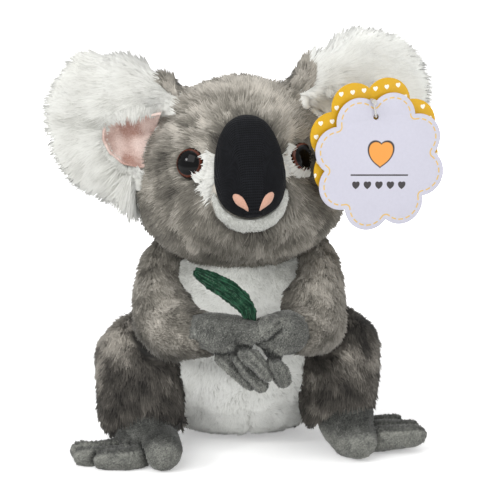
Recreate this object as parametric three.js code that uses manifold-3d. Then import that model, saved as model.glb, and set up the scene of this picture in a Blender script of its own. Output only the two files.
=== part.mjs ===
// A sitting plush koala that holds a felt leaf in its clasped hands, with two swing tags at one ear.
// Millimetres, +Z up. It faces -Y and sits on z = 0, and left and right are as the viewer in front sees them.
// Its sewn skins are shells open at their seams, and the fibre filling inside each is a solid of its own.
import * as THREE from "three";
import { mergeVertices } from "three/addons/utils/BufferGeometryUtils.js";
import Module from "manifold-3d";

const wasm = await Module();
wasm.setup();

// Driving sizes of the body
const torsoWidth = 100;
const torsoDepth = 100;
const torsoHeight = 114;
const headWidth = 113;
const headDepth = 104;
const headHeight = 102;
const neckSink = 17;
const headForward = 8;
const headYaw = THREE.MathUtils.degToRad(6);
const headRoll = THREE.MathUtils.degToRad(-2);

// Sewing
const seamGap = 0.3;
const plushThickness = 5;
const shortPlushThickness = 2.5;
const neckOpening = 44;
const floorFlat = 0.5;

// Limbs
const armThickness = 34;
const legThickness = 50;
const palmThickness = 23;
const handLength = 30;
const fingerThickness = 10.6;
const footLength = 46;
const footThickness = 26;
const toeThickness = 12.8;

// Face
const noseWidth = 38;
const noseHeight = 55;
const noseDepth = 30;
const noseTilt = THREE.MathUtils.degToRad(-23);
const nostrilLength = 9.5;
const nostrilWidth = 4.6;
const nostrilSplay = THREE.MathUtils.degToRad(38);
const muzzleWidth = 44;
const muzzleHeight = 40;
const muzzleDepth = 34;
const eyeDiameter = 16.5;
const eyeDome = 5.2;
const eyeRim = 1.6;
const eyeSeat = 2.2;
const shankDiameter = 4.6;
const shankLength = 11;
const washerDiameter = 13;
const washerThickness = 1.6;
const washerDepth = 7.4;
const eyePatchWidth = 20;
const eyePatchHeight = 36;

// Ears
const earWidth = 73;
const earHeight = 80;
const earThickness = 26;
const earCup = 4;
const earBackThickness = 9;
const earBowlWidth = 38;
const earBowlHeight = 35;
const earBowlDepth = 11;
const earLiningThickness = 1.6;
const earRootWidth = 19;

// Leaf
const leafWidth = 12;
const leafFlatShare = 0.2;

// Swing tags, the plastic stem that they hang on and the front tag's ring
const cardDiameter = 73;
const cardThickness = 0.8;
const cardSpacing = 2.7;
const cardHole = 3;
const cardHoleLift = 23.5;
const cardYaw = THREE.MathUtils.degToRad(18);
const cardLean = THREE.MathUtils.degToRad(6.5);
const wireDiameter = 0.9;
const ringDrop = 8;
const ringSway = 1.6;
const ringBend = 1.35;
const eyeletDiameter = 2.6;
const eyeletLength = 1.1;
const eyeletPlay = 0.15;
const cardRestGap = 0.4;
const stemLength = 34;
const barLength = 9;

// Facets
const bodyAround = 20;
const bodyRings = 12;
const coreAround = 12;
const coreRings = 8;
const limbAround = 11;
const limbAlong = 6;
const coreLimbAround = 8;
const coreLimbAlong = 4;
const digitAround = 7;
const digitAlong = 2;
const capRings = 3;
const digitCapRings = 2;
const wireSides = 6;
const ballSides = 14;
const roundSides = 14;
const halvings = 24;
const cutOverrun = 40;
const weld = 1e-3;

const turn = 2 * Math.PI;
const vector = (x, y, z) => new THREE.Vector3(x, y, z);

// Solids

function solidOf(geometry, matrix) {
  const bare = geometry.clone();
  bare.deleteAttribute("normal");
  bare.deleteAttribute("uv");
  if (matrix) bare.applyMatrix4(matrix);
  const merged = mergeVertices(bare, weld);
  const triVerts = Uint32Array.from(merged.index.array);
  return new wasm.Manifold(
    new wasm.Mesh({ numProp: 3, vertProperties: merged.attributes.position.array, triVerts }),
  );
}

function geometryOf(solid) {
  const mesh = solid.getMesh();
  const positions = new Float32Array(mesh.numVert * 3);
  for (let i = 0; i < mesh.numVert; i++) {
    positions.set(mesh.vertProperties.subarray(i * mesh.numProp, i * mesh.numProp + 3), i * 3);
  }
  const geometry = new THREE.BufferGeometry();
  geometry.setAttribute("position", new THREE.BufferAttribute(positions, 3));
  geometry.setIndex(new THREE.BufferAttribute(mesh.triVerts, 1));
  geometry.computeVertexNormals();
  return geometry;
}

const movedBy = (solid, matrix) => solid.transform(matrix.elements);

// The largest body of a cut piece, without the crumbs that the cut leaves.
const mainBody = (solid) =>
  solid.decompose().reduce((largest, body) => (body.volume() > largest.volume() ? body : largest));
const cutBy = (solid, ...tools) => tools.reduce((left, tool) => left.subtract(tool), solid);
const joined = (...solids) => solids.reduce((all, one) => all.add(one));

// A closed skin over rings of equal count, with a pole at each end.
function skinOver(rings, startPole, endPole) {
  const around = rings[0].length;
  const points = [startPole, ...rings.flat(), endPole];
  const last = points.length - 1;
  const at = (ring, j) => 1 + ring * around + (j % around);
  const faces = [];
  for (let j = 0; j < around; j++) {
    faces.push(0, at(0, j + 1), at(0, j));
    faces.push(last, at(rings.length - 1, j), at(rings.length - 1, j + 1));
    for (let i = 0; i + 1 < rings.length; i++) {
      faces.push(at(i, j), at(i, j + 1), at(i + 1, j + 1));
      faces.push(at(i, j), at(i + 1, j + 1), at(i + 1, j));
    }
  }
  const geometry = new THREE.BufferGeometry().setFromPoints(points);
  geometry.setIndex(faces);
  return geometry;
}

// A profile row is [height, half width, front, back], from pole to pole.
function profileCurves(rows) {
  return {
    frontal: new THREE.CatmullRomCurve3(rows.map(([height, side, front]) => vector(side, height, front))),
    rear: new THREE.CatmullRomCurve3(rows.map(([height, side, , back]) => vector(side, height, back))),
  };
}

// A stuffed form of level rings
function stackedForm(rows, ringCount, around, grow = 0, bend = (point) => point) {
  const { frontal, rear } = profileCurves(rows);
  const bottom = rows[0][0];
  const top = rows[rows.length - 1][0];
  const middle = (bottom + top) / 2;
  const stretch = 1 + (2 * grow) / (top - bottom);
  const level = (height) => middle + (height - middle) * stretch;
  const rings = [];
  for (let i = 1; i < ringCount; i++) {
    const front = frontal.getPoint(i / ringCount);
    const back = rear.getPoint(i / ringCount);
    const ring = [];
    for (let j = 0; j < around; j++) {
      const angle = (turn * j) / around;
      const reach = Math.sin(angle) > 0 ? back.z : front.z;
      const side = Math.max(front.x + grow, weld) * Math.cos(angle);
      const depth = Math.max(reach + grow, weld) * Math.sin(angle);
      ring.push(bend(vector(side, depth, level(front.y))));
    }
    rings.push(ring);
  }
  return skinOver(rings, bend(vector(0, 0, level(bottom))), bend(vector(0, 0, level(top))));
}

// The front of a stacked form at a side place and a height, found by halving along its profile.
function frontOf(rows, side, height) {
  const { frontal } = profileCurves(rows);
  let low = 0;
  let high = 1;
  for (let step = 0; step < halvings; step++) {
    const half = (low + high) / 2;
    if (frontal.getPoint(half).y < height) low = half;
    else high = half;
  }
  const section = frontal.getPoint(low);
  return vector(side, -section.z * Math.sqrt(Math.max(0, 1 - (side / section.x) ** 2)), height);
}

// A stuffed form swept along a route of [x, y, z, radius] rows.
// Its section is a circle, flattened along up by the flat share.
function sweptForm(route, options = {}) {
  const { around = limbAround, along = limbAlong, caps = capRings, grow = 0 } = options;
  const { flatShare = 1, up = vector(0, 0, 1), startCapShare = 1, endCapShare = 1 } = options;
  const line = new THREE.CatmullRomCurve3(route.map(([x, y, z]) => vector(x, y, z)));
  const girth = new THREE.CatmullRomCurve3(route.map(([, , , radius]) => vector(radius, 0, 0)));
  const ringAt = (t, forward, narrow) => {
    const heading = line.getTangent(t);
    const side = up.clone().cross(heading).normalize();
    const normal = heading.clone().cross(side);
    const radius = girth.getPoint(t).x + grow;
    const centre = line.getPoint(t).addScaledVector(heading, forward * radius);
    const ring = [];
    for (let j = 0; j < around; j++) {
      const angle = (turn * j) / around;
      const flat = (radius - grow) * flatShare + grow;
      ring.push(
        centre
          .clone()
          .addScaledVector(side, radius * narrow * Math.cos(angle))
          .addScaledVector(normal, flat * narrow * Math.sin(angle)),
      );
    }
    return { ring, centre };
  };
  const rings = [];
  for (let k = caps - 1; k > 0; k--) {
    const rise = ((turn / 4) * k) / caps;
    rings.push(ringAt(0, -startCapShare * Math.sin(rise), Math.cos(rise)).ring);
  }
  for (let i = 0; i <= along; i++) rings.push(ringAt(i / along, 0, 1).ring);
  for (let k = 1; k < caps; k++) {
    const rise = ((turn / 4) * k) / caps;
    rings.push(ringAt(1, endCapShare * Math.sin(rise), Math.cos(rise)).ring);
  }
  const startPole = ringAt(0, -startCapShare, 1).centre;
  const endPole = ringAt(1, endCapShare, 1).centre;
  return skinOver(rings, startPole, endPole);
}

const swept = (route, options) => solidOf(sweptForm(route, options));
const digitFacets = { around: digitAround, along: digitAlong, caps: digitCapRings };
const coreFacets = { around: coreLimbAround, along: coreLimbAlong };

// A turned solid about its own Z axis, from rows of [radius, height].
function turnedForm(profile, sides = roundSides) {
  const outline = profile.map(([radius, height]) => new THREE.Vector2(radius, height));
  return new THREE.LatheGeometry(outline, sides).rotateX(turn / 4);
}

// A matrix that stands a piece's Z axis on a point along a direction.
function standingOn(point, direction) {
  const aim = new THREE.Quaternion().setFromUnitVectors(vector(0, 0, 1), direction.clone().normalize());
  return new THREE.Matrix4().compose(point, aim, vector(1, 1, 1));
}

function ellipsoid(centre, radii, matrix) {
  const ball = new THREE.SphereGeometry(1, ballSides, ballSides / 2);
  const placed = new THREE.Matrix4().makeScale(...radii).setPosition(...centre);
  return solidOf(ball, matrix ? matrix.clone().multiply(placed) : placed);
}

// Everything above the floor, for the flats that the koala sits on.
const aboveFloor = solidOf(
  new THREE.BoxGeometry(torsoWidth * 4, torsoDepth * 4, torsoHeight * 4),
  new THREE.Matrix4().makeTranslation(0, 0, torsoHeight * 2),
);

// Torso

const torsoProfileShares = [
  [0, 0, 0, 0],
  [0.004, 0.44, 0.3, 0.5],
  [0.03, 0.66, 0.5, 0.7],
  [0.1, 0.84, 0.74, 0.86],
  [0.27, 0.99, 0.98, 1],
  [0.48, 1, 1, 1],
  [0.68, 0.88, 0.88, 0.92],
  [0.84, 0.72, 0.68, 0.76],
  [0.95, 0.48, 0.44, 0.5],
  [1, 0, 0, 0],
];
const torsoRows = torsoProfileShares.map(([height, side, front, back]) => [
  height * (torsoHeight + floorFlat) - floorFlat,
  (side * torsoWidth) / 2,
  (front * torsoDepth) / 2,
  (back * torsoDepth) / 2,
]);
const torsoForm = (grow, rings = bodyRings, around = bodyAround) =>
  solidOf(stackedForm(torsoRows, rings, around, grow));
const torsoOuter = torsoForm(0).intersect(aboveFloor);

// A place on or near the torso, in shares of its half width, half depth and height.
const besideTorso = ([side, depth, height]) => [
  (side * torsoWidth) / 2,
  (depth * torsoDepth) / 2,
  height * torsoHeight,
];
const limbRoute = (shares, thickness) =>
  shares.map(([side, depth, height, radius]) => [
    ...besideTorso([side, depth, height]),
    (radius * thickness) / 2,
  ]);

// Head, in a frame of its own at its centre

const headLift = torsoHeight - neckSink + headHeight / 2;
const headMatrix = new THREE.Matrix4()
  .makeTranslation(0, -headForward, headLift)
  .multiply(new THREE.Matrix4().makeRotationFromEuler(new THREE.Euler(0, headRoll, headYaw, "ZYX")));
const intoHead = headMatrix.clone().invert();

const headProfileShares = [
  [-1, 0, 0, 0],
  [-0.96, 0.32, 0.3, 0.34],
  [-0.8, 0.7, 0.7, 0.66],
  [-0.5, 0.95, 0.97, 0.86],
  [-0.12, 1.01, 1, 0.98],
  [0.28, 0.93, 0.94, 0.98],
  [0.6, 0.73, 0.78, 0.82],
  [0.86, 0.44, 0.5, 0.52],
  [0.97, 0.2, 0.22, 0.22],
  [1, 0, 0, 0],
];
const headRows = headProfileShares.map(([height, side, front, back]) => [
  (height * headHeight) / 2,
  (side * headWidth) / 2,
  (front * headDepth) / 2,
  (back * headDepth) / 2,
]);
const headForm = (grow, rings = bodyRings, around = bodyAround) =>
  solidOf(stackedForm(headRows, rings, around, grow));
const headOuter = headForm(0);
const headClear = headForm(seamGap);

const onFace = (side, height) => frontOf(headRows, (side * headWidth) / 2, (height * headHeight) / 2);

function outwardOnFace(side, height) {
  const stepShare = 0.04;
  const along = onFace(side + stepShare, height).sub(onFace(side - stepShare, height));
  const rise = onFace(side, height + stepShare).sub(onFace(side, height - stepShare));
  return along.cross(rise).normalize();
}

// Nose: a knit egg, wide below, that leans out over the muzzle

const noseHeightShare = 0.22;
const nosePlaceShare = 0.99;
const noseProfileShares = [
  [-1, 0, 0],
  [-0.95, 0.42, 0.46],
  [-0.8, 0.75, 0.8],
  [-0.55, 0.94, 0.96],
  [-0.2, 1, 1],
  [0.2, 0.93, 0.97],
  [0.6, 0.7, 0.8],
  [0.88, 0.4, 0.5],
  [1, 0, 0],
];
const noseRows = noseProfileShares.map(([height, side, depth]) => [
  (height * noseHeight) / 2,
  (side * noseWidth) / 2,
  (depth * noseDepth) / 2,
  (depth * noseDepth) / 2,
]);
const nosePlace = vector(0, (-nosePlaceShare * headDepth) / 2, (noseHeightShare * headHeight) / 2);
const noseMatrix = new THREE.Matrix4()
  .makeTranslation(nosePlace)
  .multiply(new THREE.Matrix4().makeRotationX(noseTilt));
const noseForm = (grow) => solidOf(stackedForm(noseRows, bodyRings, coreAround, grow), noseMatrix);

const nostrilSideShare = 0.34;
const nostrilHeightShare = -0.78;
const nostrilRouteShares = [
  [-1, 0.55],
  [-0.3, 0.95],
  [0.4, 1],
  [1, 0.6],
];
const nostrilFlatShare = 0.5;

function nostril(sign, grow) {
  const side = (sign * nostrilSideShare * noseWidth) / 2;
  const height = (nostrilHeightShare * noseHeight) / 2;
  const seat = frontOf(noseRows, side, height);
  const route = nostrilRouteShares.map(([along, width]) => {
    const reach = (along * nostrilLength) / 2;
    const x = side + sign * reach * Math.sin(nostrilSplay);
    const z = height + reach * Math.cos(nostrilSplay);
    const seated = frontOf(noseRows, x, z);
    return [x, (seated.y + seat.y) / 2, z, (width * nostrilWidth) / 2];
  });
  const form = sweptForm(route, {
    around: digitAround,
    along: digitAlong,
    grow,
    flatShare: nostrilFlatShare,
    up: vector(0, -1, 0),
  });
  return solidOf(form, noseMatrix);
}

// Muzzle: the pale chin that shows under the nose
const muzzleHeightShare = -0.13;
const muzzlePlaceShare = 0.86;
const muzzleForm = ellipsoid(
  [0, (-muzzlePlaceShare * headDepth) / 2, (muzzleHeightShare * headHeight) / 2],
  [muzzleWidth / 2, muzzleDepth / 2, muzzleHeight / 2],
);

// Eyes: one moulding of dome, rim and shank, held by a locking washer inside the head

const eyeSideShare = 0.53;
const eyeHeightShare = 0.24;
const eyeDomeShares = [
  [0.8, 0.6],
  [0.42, 0.9],
];

function eyeProfile() {
  const radius = eyeDiameter / 2;
  const shank = shankDiameter / 2;
  return [
    [0, -shankLength],
    [shank, -shankLength],
    [shank, 0],
    [radius, 0],
    [radius, eyeRim],
    ...eyeDomeShares.map(([out, rise]) => [radius * out, eyeRim + eyeDome * rise]),
    [0, eyeRim + eyeDome],
  ];
}

// The tool for the eye's pocket runs out of the plush in front of it.
function eyePocket() {
  const radius = eyeDiameter / 2 + seamGap;
  const shank = shankDiameter / 2 + seamGap;
  return [
    [0, -shankLength - seamGap],
    [shank, -shankLength - seamGap],
    [shank, -seamGap],
    [radius, -seamGap],
    [radius, cutOverrun],
    [0, cutOverrun],
  ];
}

// The washer's top lies the washer's depth under the face.
const washerTop = eyeSeat - washerDepth;

function washerProfile() {
  const outer = washerDiameter / 2;
  const inner = shankDiameter / 2 + seamGap;
  const top = washerTop;
  const bottom = washerTop - washerThickness;
  return [
    [inner, bottom],
    [outer, bottom],
    [outer, top],
    [inner, top],
    [inner, bottom],
  ];
}

function eyeMatrix(sign) {
  const outward = outwardOnFace(sign * eyeSideShare, eyeHeightShare);
  const seat = onFace(sign * eyeSideShare, eyeHeightShare).addScaledVector(outward, -eyeSeat);
  return standingOn(seat, outward);
}

const signs = { left: -1, right: 1 };
const bothSides = Object.entries(signs);
const eyePockets = bothSides.map(([, sign]) => solidOf(turnedForm(eyePocket()), eyeMatrix(sign)));
const washerPockets = bothSides.map(([, sign]) => {
  const depth = shankLength + seamGap;
  const top = washerTop + seamGap;
  const radius = washerDiameter / 2 + seamGap;
  const pocket = turnedForm([
    [0, -depth],
    [radius, -depth],
    [radius, top],
    [0, top],
  ]);
  return solidOf(pocket, eyeMatrix(sign));
});

// Pale plush let into the face between each eye and the nose
const eyePatchSideShare = 0.31;
const eyePatchHeightShare = 0.02;
const eyePatchDepthShare = 0.86;
const eyePatchCutter = (sign, grow) =>
  ellipsoid(
    [
      (sign * eyePatchSideShare * headWidth) / 2,
      (-eyePatchDepthShare * headDepth) / 2,
      (eyePatchHeightShare * headHeight) / 2,
    ],
    [eyePatchWidth / 2 + grow, headDepth / 4 + grow, eyePatchHeight / 2 + grow],
  );

// Ears: a cupped pad with grey plush behind, long pale pile in front and a satin bowl let into the pile

const earSideShare = 1.18;
const earHeightShares = { left: 0.58, right: 0.69 };
const earDepthShare = 0.1;
const earTurn = THREE.MathUtils.degToRad(10);
const earLean = THREE.MathUtils.degToRad(7);
const earProfileShares = [
  [-1, 0, 0],
  [-0.93, 0.4, 0.5],
  [-0.7, 0.76, 0.86],
  [-0.3, 0.97, 1],
  [0.2, 1, 1],
  [0.6, 0.86, 0.92],
  [0.9, 0.5, 0.6],
  [1, 0, 0],
];
const earRows = earProfileShares.map(([height, side, depth]) => [
  (height * earHeight) / 2,
  (side * earWidth) / 2,
  (depth * earThickness) / 2,
  (depth * earThickness) / 2,
]);

// The ear's own frame has its -Y out of the bowl.
function earMatrix(side) {
  const sign = signs[side];
  const place = vector(
    (sign * earSideShare * headWidth) / 2,
    (-earDepthShare * headDepth) / 2,
    (earHeightShares[side] * headHeight) / 2,
  );
  const aim = new THREE.Euler(0, sign * earLean, sign * earTurn, "ZYX");
  return new THREE.Matrix4().makeRotationFromEuler(aim).setPosition(place);
}

// The rim of the cup curls forward of its middle.
const earCupped = (point) => {
  const out = Math.hypot(point.x / (earWidth / 2), point.z / (earHeight / 2));
  return vector(point.x, point.y - earCup * out ** 2, point.z);
};
const earSplit = earThickness / 2 - earBackThickness;

// A slab of the ear's frame from one depth to another, for parting its layers.
function earSlab(side, from, to) {
  const slab = new THREE.BoxGeometry(earWidth * 2, to - from, earHeight * 2);
  return solidOf(slab, earMatrix(side).multiply(new THREE.Matrix4().makeTranslation(0, (from + to) / 2, 0)));
}

const earBowlSideShare = 0.46;
const earBowlHeightShare = -0.17;
const earBrimShare = 0.04;

// The bowl's form, closed above by the straight brim of the pile.
function earBowl(side, grow) {
  const x = (-signs[side] * earBowlSideShare * earWidth) / 2;
  const z = (earBowlHeightShare * earHeight) / 2;
  const front = -earThickness / 2 - earCup / 4;
  const radii = [earBowlWidth / 2 + grow, earBowlDepth + grow, earBowlHeight / 2 + grow];
  const bowl = ellipsoid([x, front, z], radii, earMatrix(side));
  const brim = (earBrimShare * earHeight) / 2 + grow;
  const below = new THREE.BoxGeometry(earWidth * 2, earHeight * 2, earHeight * 2);
  return bowl.intersect(
    solidOf(below, earMatrix(side).multiply(new THREE.Matrix4().makeTranslation(0, 0, brim - earHeight))),
  );
}

// A fold of grey plush that comes over the top of the ear's seam from behind.
// A row is [across, deep, lift] in shares of the half ear and a share of the fold's radius.
const earRootShares = [
  [0.86, -0.1, 0.46, 0.9],
  [0.93, 0.3, 0.2, 1],
  [0.96, 0.7, -0.12, 0.8],
];

function earRoot(side, grow) {
  const route = earRootShares.map(([across, deep, lift, radius]) => [
    (-signs[side] * across * earWidth) / 2,
    (deep * earThickness) / 2,
    (lift * earHeight) / 2,
    (radius * earRootWidth) / 2,
  ]);
  return solidOf(sweptForm(route, { grow, ...digitFacets, up: vector(0, 1, 0) }), earMatrix(side));
}

function earParts(side) {
  const form = stackedForm(earRows, coreRings + 1, coreAround + 2, 0, earCupped);
  const whole = cutBy(solidOf(form, earMatrix(side)), headClear);
  const front = whole.intersect(earSlab(side, -cutOverrun, earSplit - seamGap / 2));
  const back = whole.intersect(earSlab(side, earSplit + seamGap / 2, cutOverrun));
  const lining = cutBy(whole.intersect(earBowl(side, earLiningThickness)), earBowl(side, 0));
  return {
    pile: cutBy(front, earBowl(side, earLiningThickness + seamGap), earRoot(side, seamGap)),
    lining: cutBy(lining, earRoot(side, seamGap)),
    back: joined(back, cutBy(earRoot(side, 0), headClear)),
  };
}

// Arms, hands and leaf

const armShares = {
  left: [
    [-0.84, -0.14, 0.88, 0.7],
    [-0.85, -0.42, 0.77, 0.9],
    [-0.82, -0.78, 0.635, 1],
    [-0.62, -1.09, 0.605, 0.97],
    [-0.33, -1.2, 0.618, 0.86],
  ],
  right: [
    [0.84, -0.14, 0.89, 0.7],
    [0.83, -0.42, 0.79, 0.92],
    [0.81, -0.78, 0.665, 1],
    [0.8, -1.05, 0.615, 0.95],
    [0.57, -1.2, 0.627, 0.84],
  ],
};
const sleeveShare = 0.35;
const armForm = (side, grow, facets = {}) =>
  swept(limbRoute(armShares[side], armThickness), { grow, endCapShare: sleeveShare, ...facets });

// Each hand starts inside its sleeve.
// A row is [x, y, z] in shares of the hand's length and a radius share of its thickness.
const palmShares = {
  left: [
    [-0.3, 0.1, 0, 0.76],
    [0, -0.15, 0.07, 0.84],
    [0.45, -0.43, 0.15, 0.75],
    [0.73, -0.55, 0.19, 0.5],
  ],
  right: [
    [0.15, 0.1, -0.02, 0.78],
    [-0.13, -0.17, 0.03, 1],
    [-0.32, -0.34, 0.06, 0.94],
    [-0.48, -0.44, 0.1, 0.72],
  ],
};
const digitShares = {
  left: [
    [[0.5, -0.51, -0.02, 0.84], [0.76, -0.63, -0.28, 0.92], [1, -0.57, -0.56, 0.82]],
    [[0.43, -0.41, -0.18, 0.82], [0.7, -0.5, -0.49, 0.92], [0.91, -0.44, -0.79, 0.8]],
    [[0.13, -0.15, -0.22, 0.9], [0.43, -0.33, -0.46, 0.96], [0.75, -0.33, -0.78, 0.8]],
  ],
  right: [
    [[-0.4, -0.47, 0.28, 0.86], [-0.47, -0.6, 0.28, 0.92], [-0.52, -0.68, 0.2, 0.76]],
    [[-0.44, -0.42, -0.08, 0.8], [-0.34, -0.54, -0.4, 0.94], [-0.2, -0.49, -0.72, 0.84]],
  ],
};

const openWristShare = 2.2;

function handRows(side, rows, thickness) {
  const arm = limbRoute(armShares[side], armThickness);
  const [x, y, z] = arm[arm.length - 1];
  return rows.map(([across, forward, up, radius]) => [
    x + across * handLength,
    y + forward * handLength,
    z + up * handLength,
    (radius * thickness) / 2,
  ]);
}

function handForm(side, grow) {
  const palm = swept(handRows(side, palmShares[side], palmThickness), { grow, along: coreLimbAlong });
  const digits = digitShares[side].map((rows) =>
    swept(handRows(side, rows, fingerThickness), { grow, ...digitFacets, up: vector(0, -1, 0) }),
  );
  return joined(palm, ...digits);
}

// The filling of a palm, or with an open wrist share the room for it inside the skin.
const palmCore = (side, gap, startCapShare = 1) =>
  swept(handRows(side, palmShares[side], palmThickness), {
    ...coreFacets,
    grow: -shortPlushThickness - gap,
    startCapShare,
  });

const leafRouteShares = [
  [0.1, -1.46, 0.655, 0.5],
  [0.115, -1.53, 0.71, 0.58],
  [0.085, -1.55, 0.775, 0.8],
  [-0.06, -1.49, 0.835, 1],
  [-0.26, -1.4, 0.88, 0.9],
  [-0.43, -1.3, 0.912, 0.6],
];
const leafForm = (grow) =>
  swept(limbRoute(leafRouteShares, leafWidth), {
    grow,
    around: limbAround,
    flatShare: leafFlatShare,
    up: vector(0, -1, 0),
    endCapShare: 0.8,
  });

// Legs and feet

const legShares = {
  left: [
    [-0.72, 0.3, 0.27, 0.86],
    [-0.98, -0.12, 0.4, 0.98],
    [-1.09, -0.56, 0.43, 1],
    [-1.06, -0.8, 0.3, 0.94],
    [-1.02, -0.88, 0.2, 0.88],
  ],
  right: [
    [0.72, 0.3, 0.28, 0.86],
    [0.96, -0.1, 0.43, 0.96],
    [1.07, -0.46, 0.465, 0.96],
    [1.07, -0.68, 0.34, 0.9],
    [1.05, -0.76, 0.24, 0.84],
  ],
};
const cuffShare = 0.36;
const legForm = (side, grow, facets = {}) =>
  swept(limbRoute(legShares[side], legThickness), { grow, endCapShare: cuffShare, ...facets });

// A foot's row is [x, y] in shares of its length from the leg's end.
// A height and a radius in shares of its thickness follow.
const footShares = {
  left: {
    sock: [
      [0.04, 0.1, 1.1, 1.22],
      [0.04, -0.12, 0.62, 1.28],
      [0.06, -0.28, 0.42, 0.92],
    ],
    lobe: [
      [0.1, -0.12, 0.44, 0.9],
      [0.2, -0.38, 0.41, 0.84],
      [0.24, -0.56, 0.38, 0.78],
    ],
    toes: [
      [[-0.11, -0.08, 0.26, 0.96], [-0.43, -0.18, 0.24, 1], [-0.73, -0.18, 0.23, 0.88]],
      [[-0.07, -0.29, 0.25, 0.98], [-0.39, -0.4, 0.23, 1.04], [-0.67, -0.41, 0.22, 0.88]],
      [[0.09, -0.45, 0.26, 0.98], [-0.18, -0.56, 0.23, 1.04], [-0.43, -0.56, 0.22, 0.88]],
    ],
  },
  right: {
    sock: [
      [0.06, 0.05, 1.16, 1.18],
      [0.1, -0.1, 0.7, 1.16],
      [0.16, -0.2, 0.46, 0.96],
    ],
    lobe: [
      [0.1, -0.06, 0.5, 0.92],
      [0.18, -0.22, 0.46, 0.88],
      [0.22, -0.33, 0.44, 0.84],
    ],
    toes: [
      [[0.2, 0.16, 0.36, 0.92], [0.52, 0.3, 0.36, 0.96], [0.7, 0.35, 0.38, 0.84]],
      [[0.2, 0.02, 0.34, 1], [0.56, 0.1, 0.36, 1.04], [0.87, 0.16, 0.38, 0.88]],
      [[0.2, -0.17, 0.3, 1], [0.56, -0.12, 0.34, 1.06], [0.91, -0.08, 0.38, 0.92]],
    ],
  },
};

const openAnkleShare = 1.6;

function footRows(side, rows, thickness) {
  const leg = limbRoute(legShares[side], legThickness);
  const [x, y] = leg[leg.length - 1];
  return rows.map(([across, forward, height, radius]) => [
    x + across * footLength,
    y + forward * footLength,
    height * footThickness - floorFlat,
    (radius * thickness) / 2,
  ]);
}

// The sock and the inner lobe, which hold the foot's filling.
function footBody(side, grow, facets = {}) {
  const { sock, lobe } = footShares[side];
  const ankle = swept(footRows(side, sock, footThickness), {
    grow,
    along: coreLimbAlong,
    up: vector(1, 0, 0),
    ...facets,
  });
  const around = facets.around ?? limbAround;
  return joined(ankle, swept(footRows(side, lobe, footThickness), { grow, ...digitFacets, around }));
}

function footForm(side, grow) {
  const toes = footShares[side].toes.map((rows) =>
    swept(footRows(side, rows, toeThickness), { grow, ...digitFacets }),
  );
  return joined(footBody(side, grow), ...toes);
}

// The filling of a foot, or with an open ankle share the room for it inside the skin.
const footCore = (side, gap, startCapShare = 1) =>
  footBody(side, -shortPlushThickness - gap, { ...coreFacets, startCapShare });

// Swing tags, in a frame at their stem with its own -Y towards the viewer

const tagPlaceShares = [1.195, -0.86, 0.845];
const tagPlace = vector(
  (tagPlaceShares[0] * headWidth) / 2,
  (tagPlaceShares[1] * headDepth) / 2 - headForward / 2,
  headLift + (tagPlaceShares[2] * headHeight) / 2,
);
const tagMatrix = new THREE.Matrix4()
  .makeTranslation(tagPlace)
  .multiply(new THREE.Matrix4().makeRotationZ(cardYaw));
const holeDrop = cardHole / 2 - wireDiameter / 2 - cardRestGap;

// The lobes are arcs about places on a ring, and they meet in notches, one of them at the top.
const lobeCount = 8;
const lobeArcSteps = 6;
const lobeNotchShare = 0.84;

function cardOutline() {
  const half = turn / lobeCount / 2;
  const radius = cardDiameter / 2;
  const notch = radius * lobeNotchShare;
  const ring = (radius ** 2 - notch ** 2) / 2 / (radius - notch * Math.cos(half));
  const spread = Math.atan2(notch * Math.sin(half), notch * Math.cos(half) - ring);
  const outline = [];
  for (let i = 0; i < lobeCount * lobeArcSteps; i++) {
    const aim = half * (2 * Math.floor(i / lobeArcSteps) + 1);
    const angle = aim + spread * (((i % lobeArcSteps) / lobeArcSteps) * 2 - 1);
    const x = ring * Math.cos(aim) + (radius - ring) * Math.cos(angle);
    const z = ring * Math.sin(aim) + (radius - ring) * Math.sin(angle);
    outline.push(new THREE.Vector2(x, z - cardHoleLift));
  }
  return outline;
}

// A card with its hole at the origin, standing in the XZ plane.
function cardGeometry() {
  const shape = new THREE.Shape(cardOutline());
  shape.holes.push(new THREE.Path().absarc(0, 0, cardHole / 2, 0, turn, true));
  const slab = new THREE.ExtrudeGeometry(shape, {
    depth: cardThickness,
    bevelEnabled: false,
    curveSegments: wireSides,
  });
  return slab.rotateX(turn / 4).translate(0, cardThickness / 2, 0);
}

function rod(from, to, radius, overrun = radius) {
  const along = to.clone().sub(from);
  const post = new THREE.CylinderGeometry(radius, radius, along.length() + overrun, wireSides);
  const middle = from.clone().lerp(to, 0.5);
  return solidOf(post.rotateX(turn / 4), standingOn(middle, along));
}

// The front card's ring has a side behind the card and one in front of it.
const ringSides = [ringBend - cardSpacing, -ringBend - cardSpacing];
const stemFront = ringSides[1] - eyeletLength / 2 - seamGap;

// The stem has a bar inside the ear, passes through the back card and ends in a knob.
function stemForm(grow) {
  const radius = wireDiameter / 2 + grow;
  const knobFront = stemFront - eyeletLength;
  return joined(
    rod(vector(-barLength / 2, stemLength, 0), vector(barLength / 2, stemLength, 0), radius),
    rod(vector(0, knobFront, 0), vector(0, stemLength, 0), radius),
    rod(vector(0, knobFront, 0), vector(0, stemFront, 0), eyeletDiameter / 2 + grow, 0),
  );
}

// The ring turns on the stem by two eyelets, and the front card hangs on its lower bar.
function ringForm() {
  const feet = ringSides.map((y) => vector(ringSway, y, -ringDrop));
  const sides = ringSides.map((y, i) => rod(vector(0, y, 0), feet[i], wireDiameter / 2));
  const eyelets = ringSides.map((y) => {
    const reach = eyeletLength / 2;
    return rod(vector(0, y - reach, 0), vector(0, y + reach, 0), eyeletDiameter / 2, 0);
  });
  const lowerBar = rod(...feet, wireDiameter / 2);
  const bore = rod(vector(0, stemFront, 0), vector(0, 0, 0), wireDiameter / 2 + eyeletPlay);
  return cutBy(joined(...sides, ...eyelets, lowerBar), bore);
}

// Assembly of the solids, larger pieces cutting the smaller ones with a sewing gap

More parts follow.
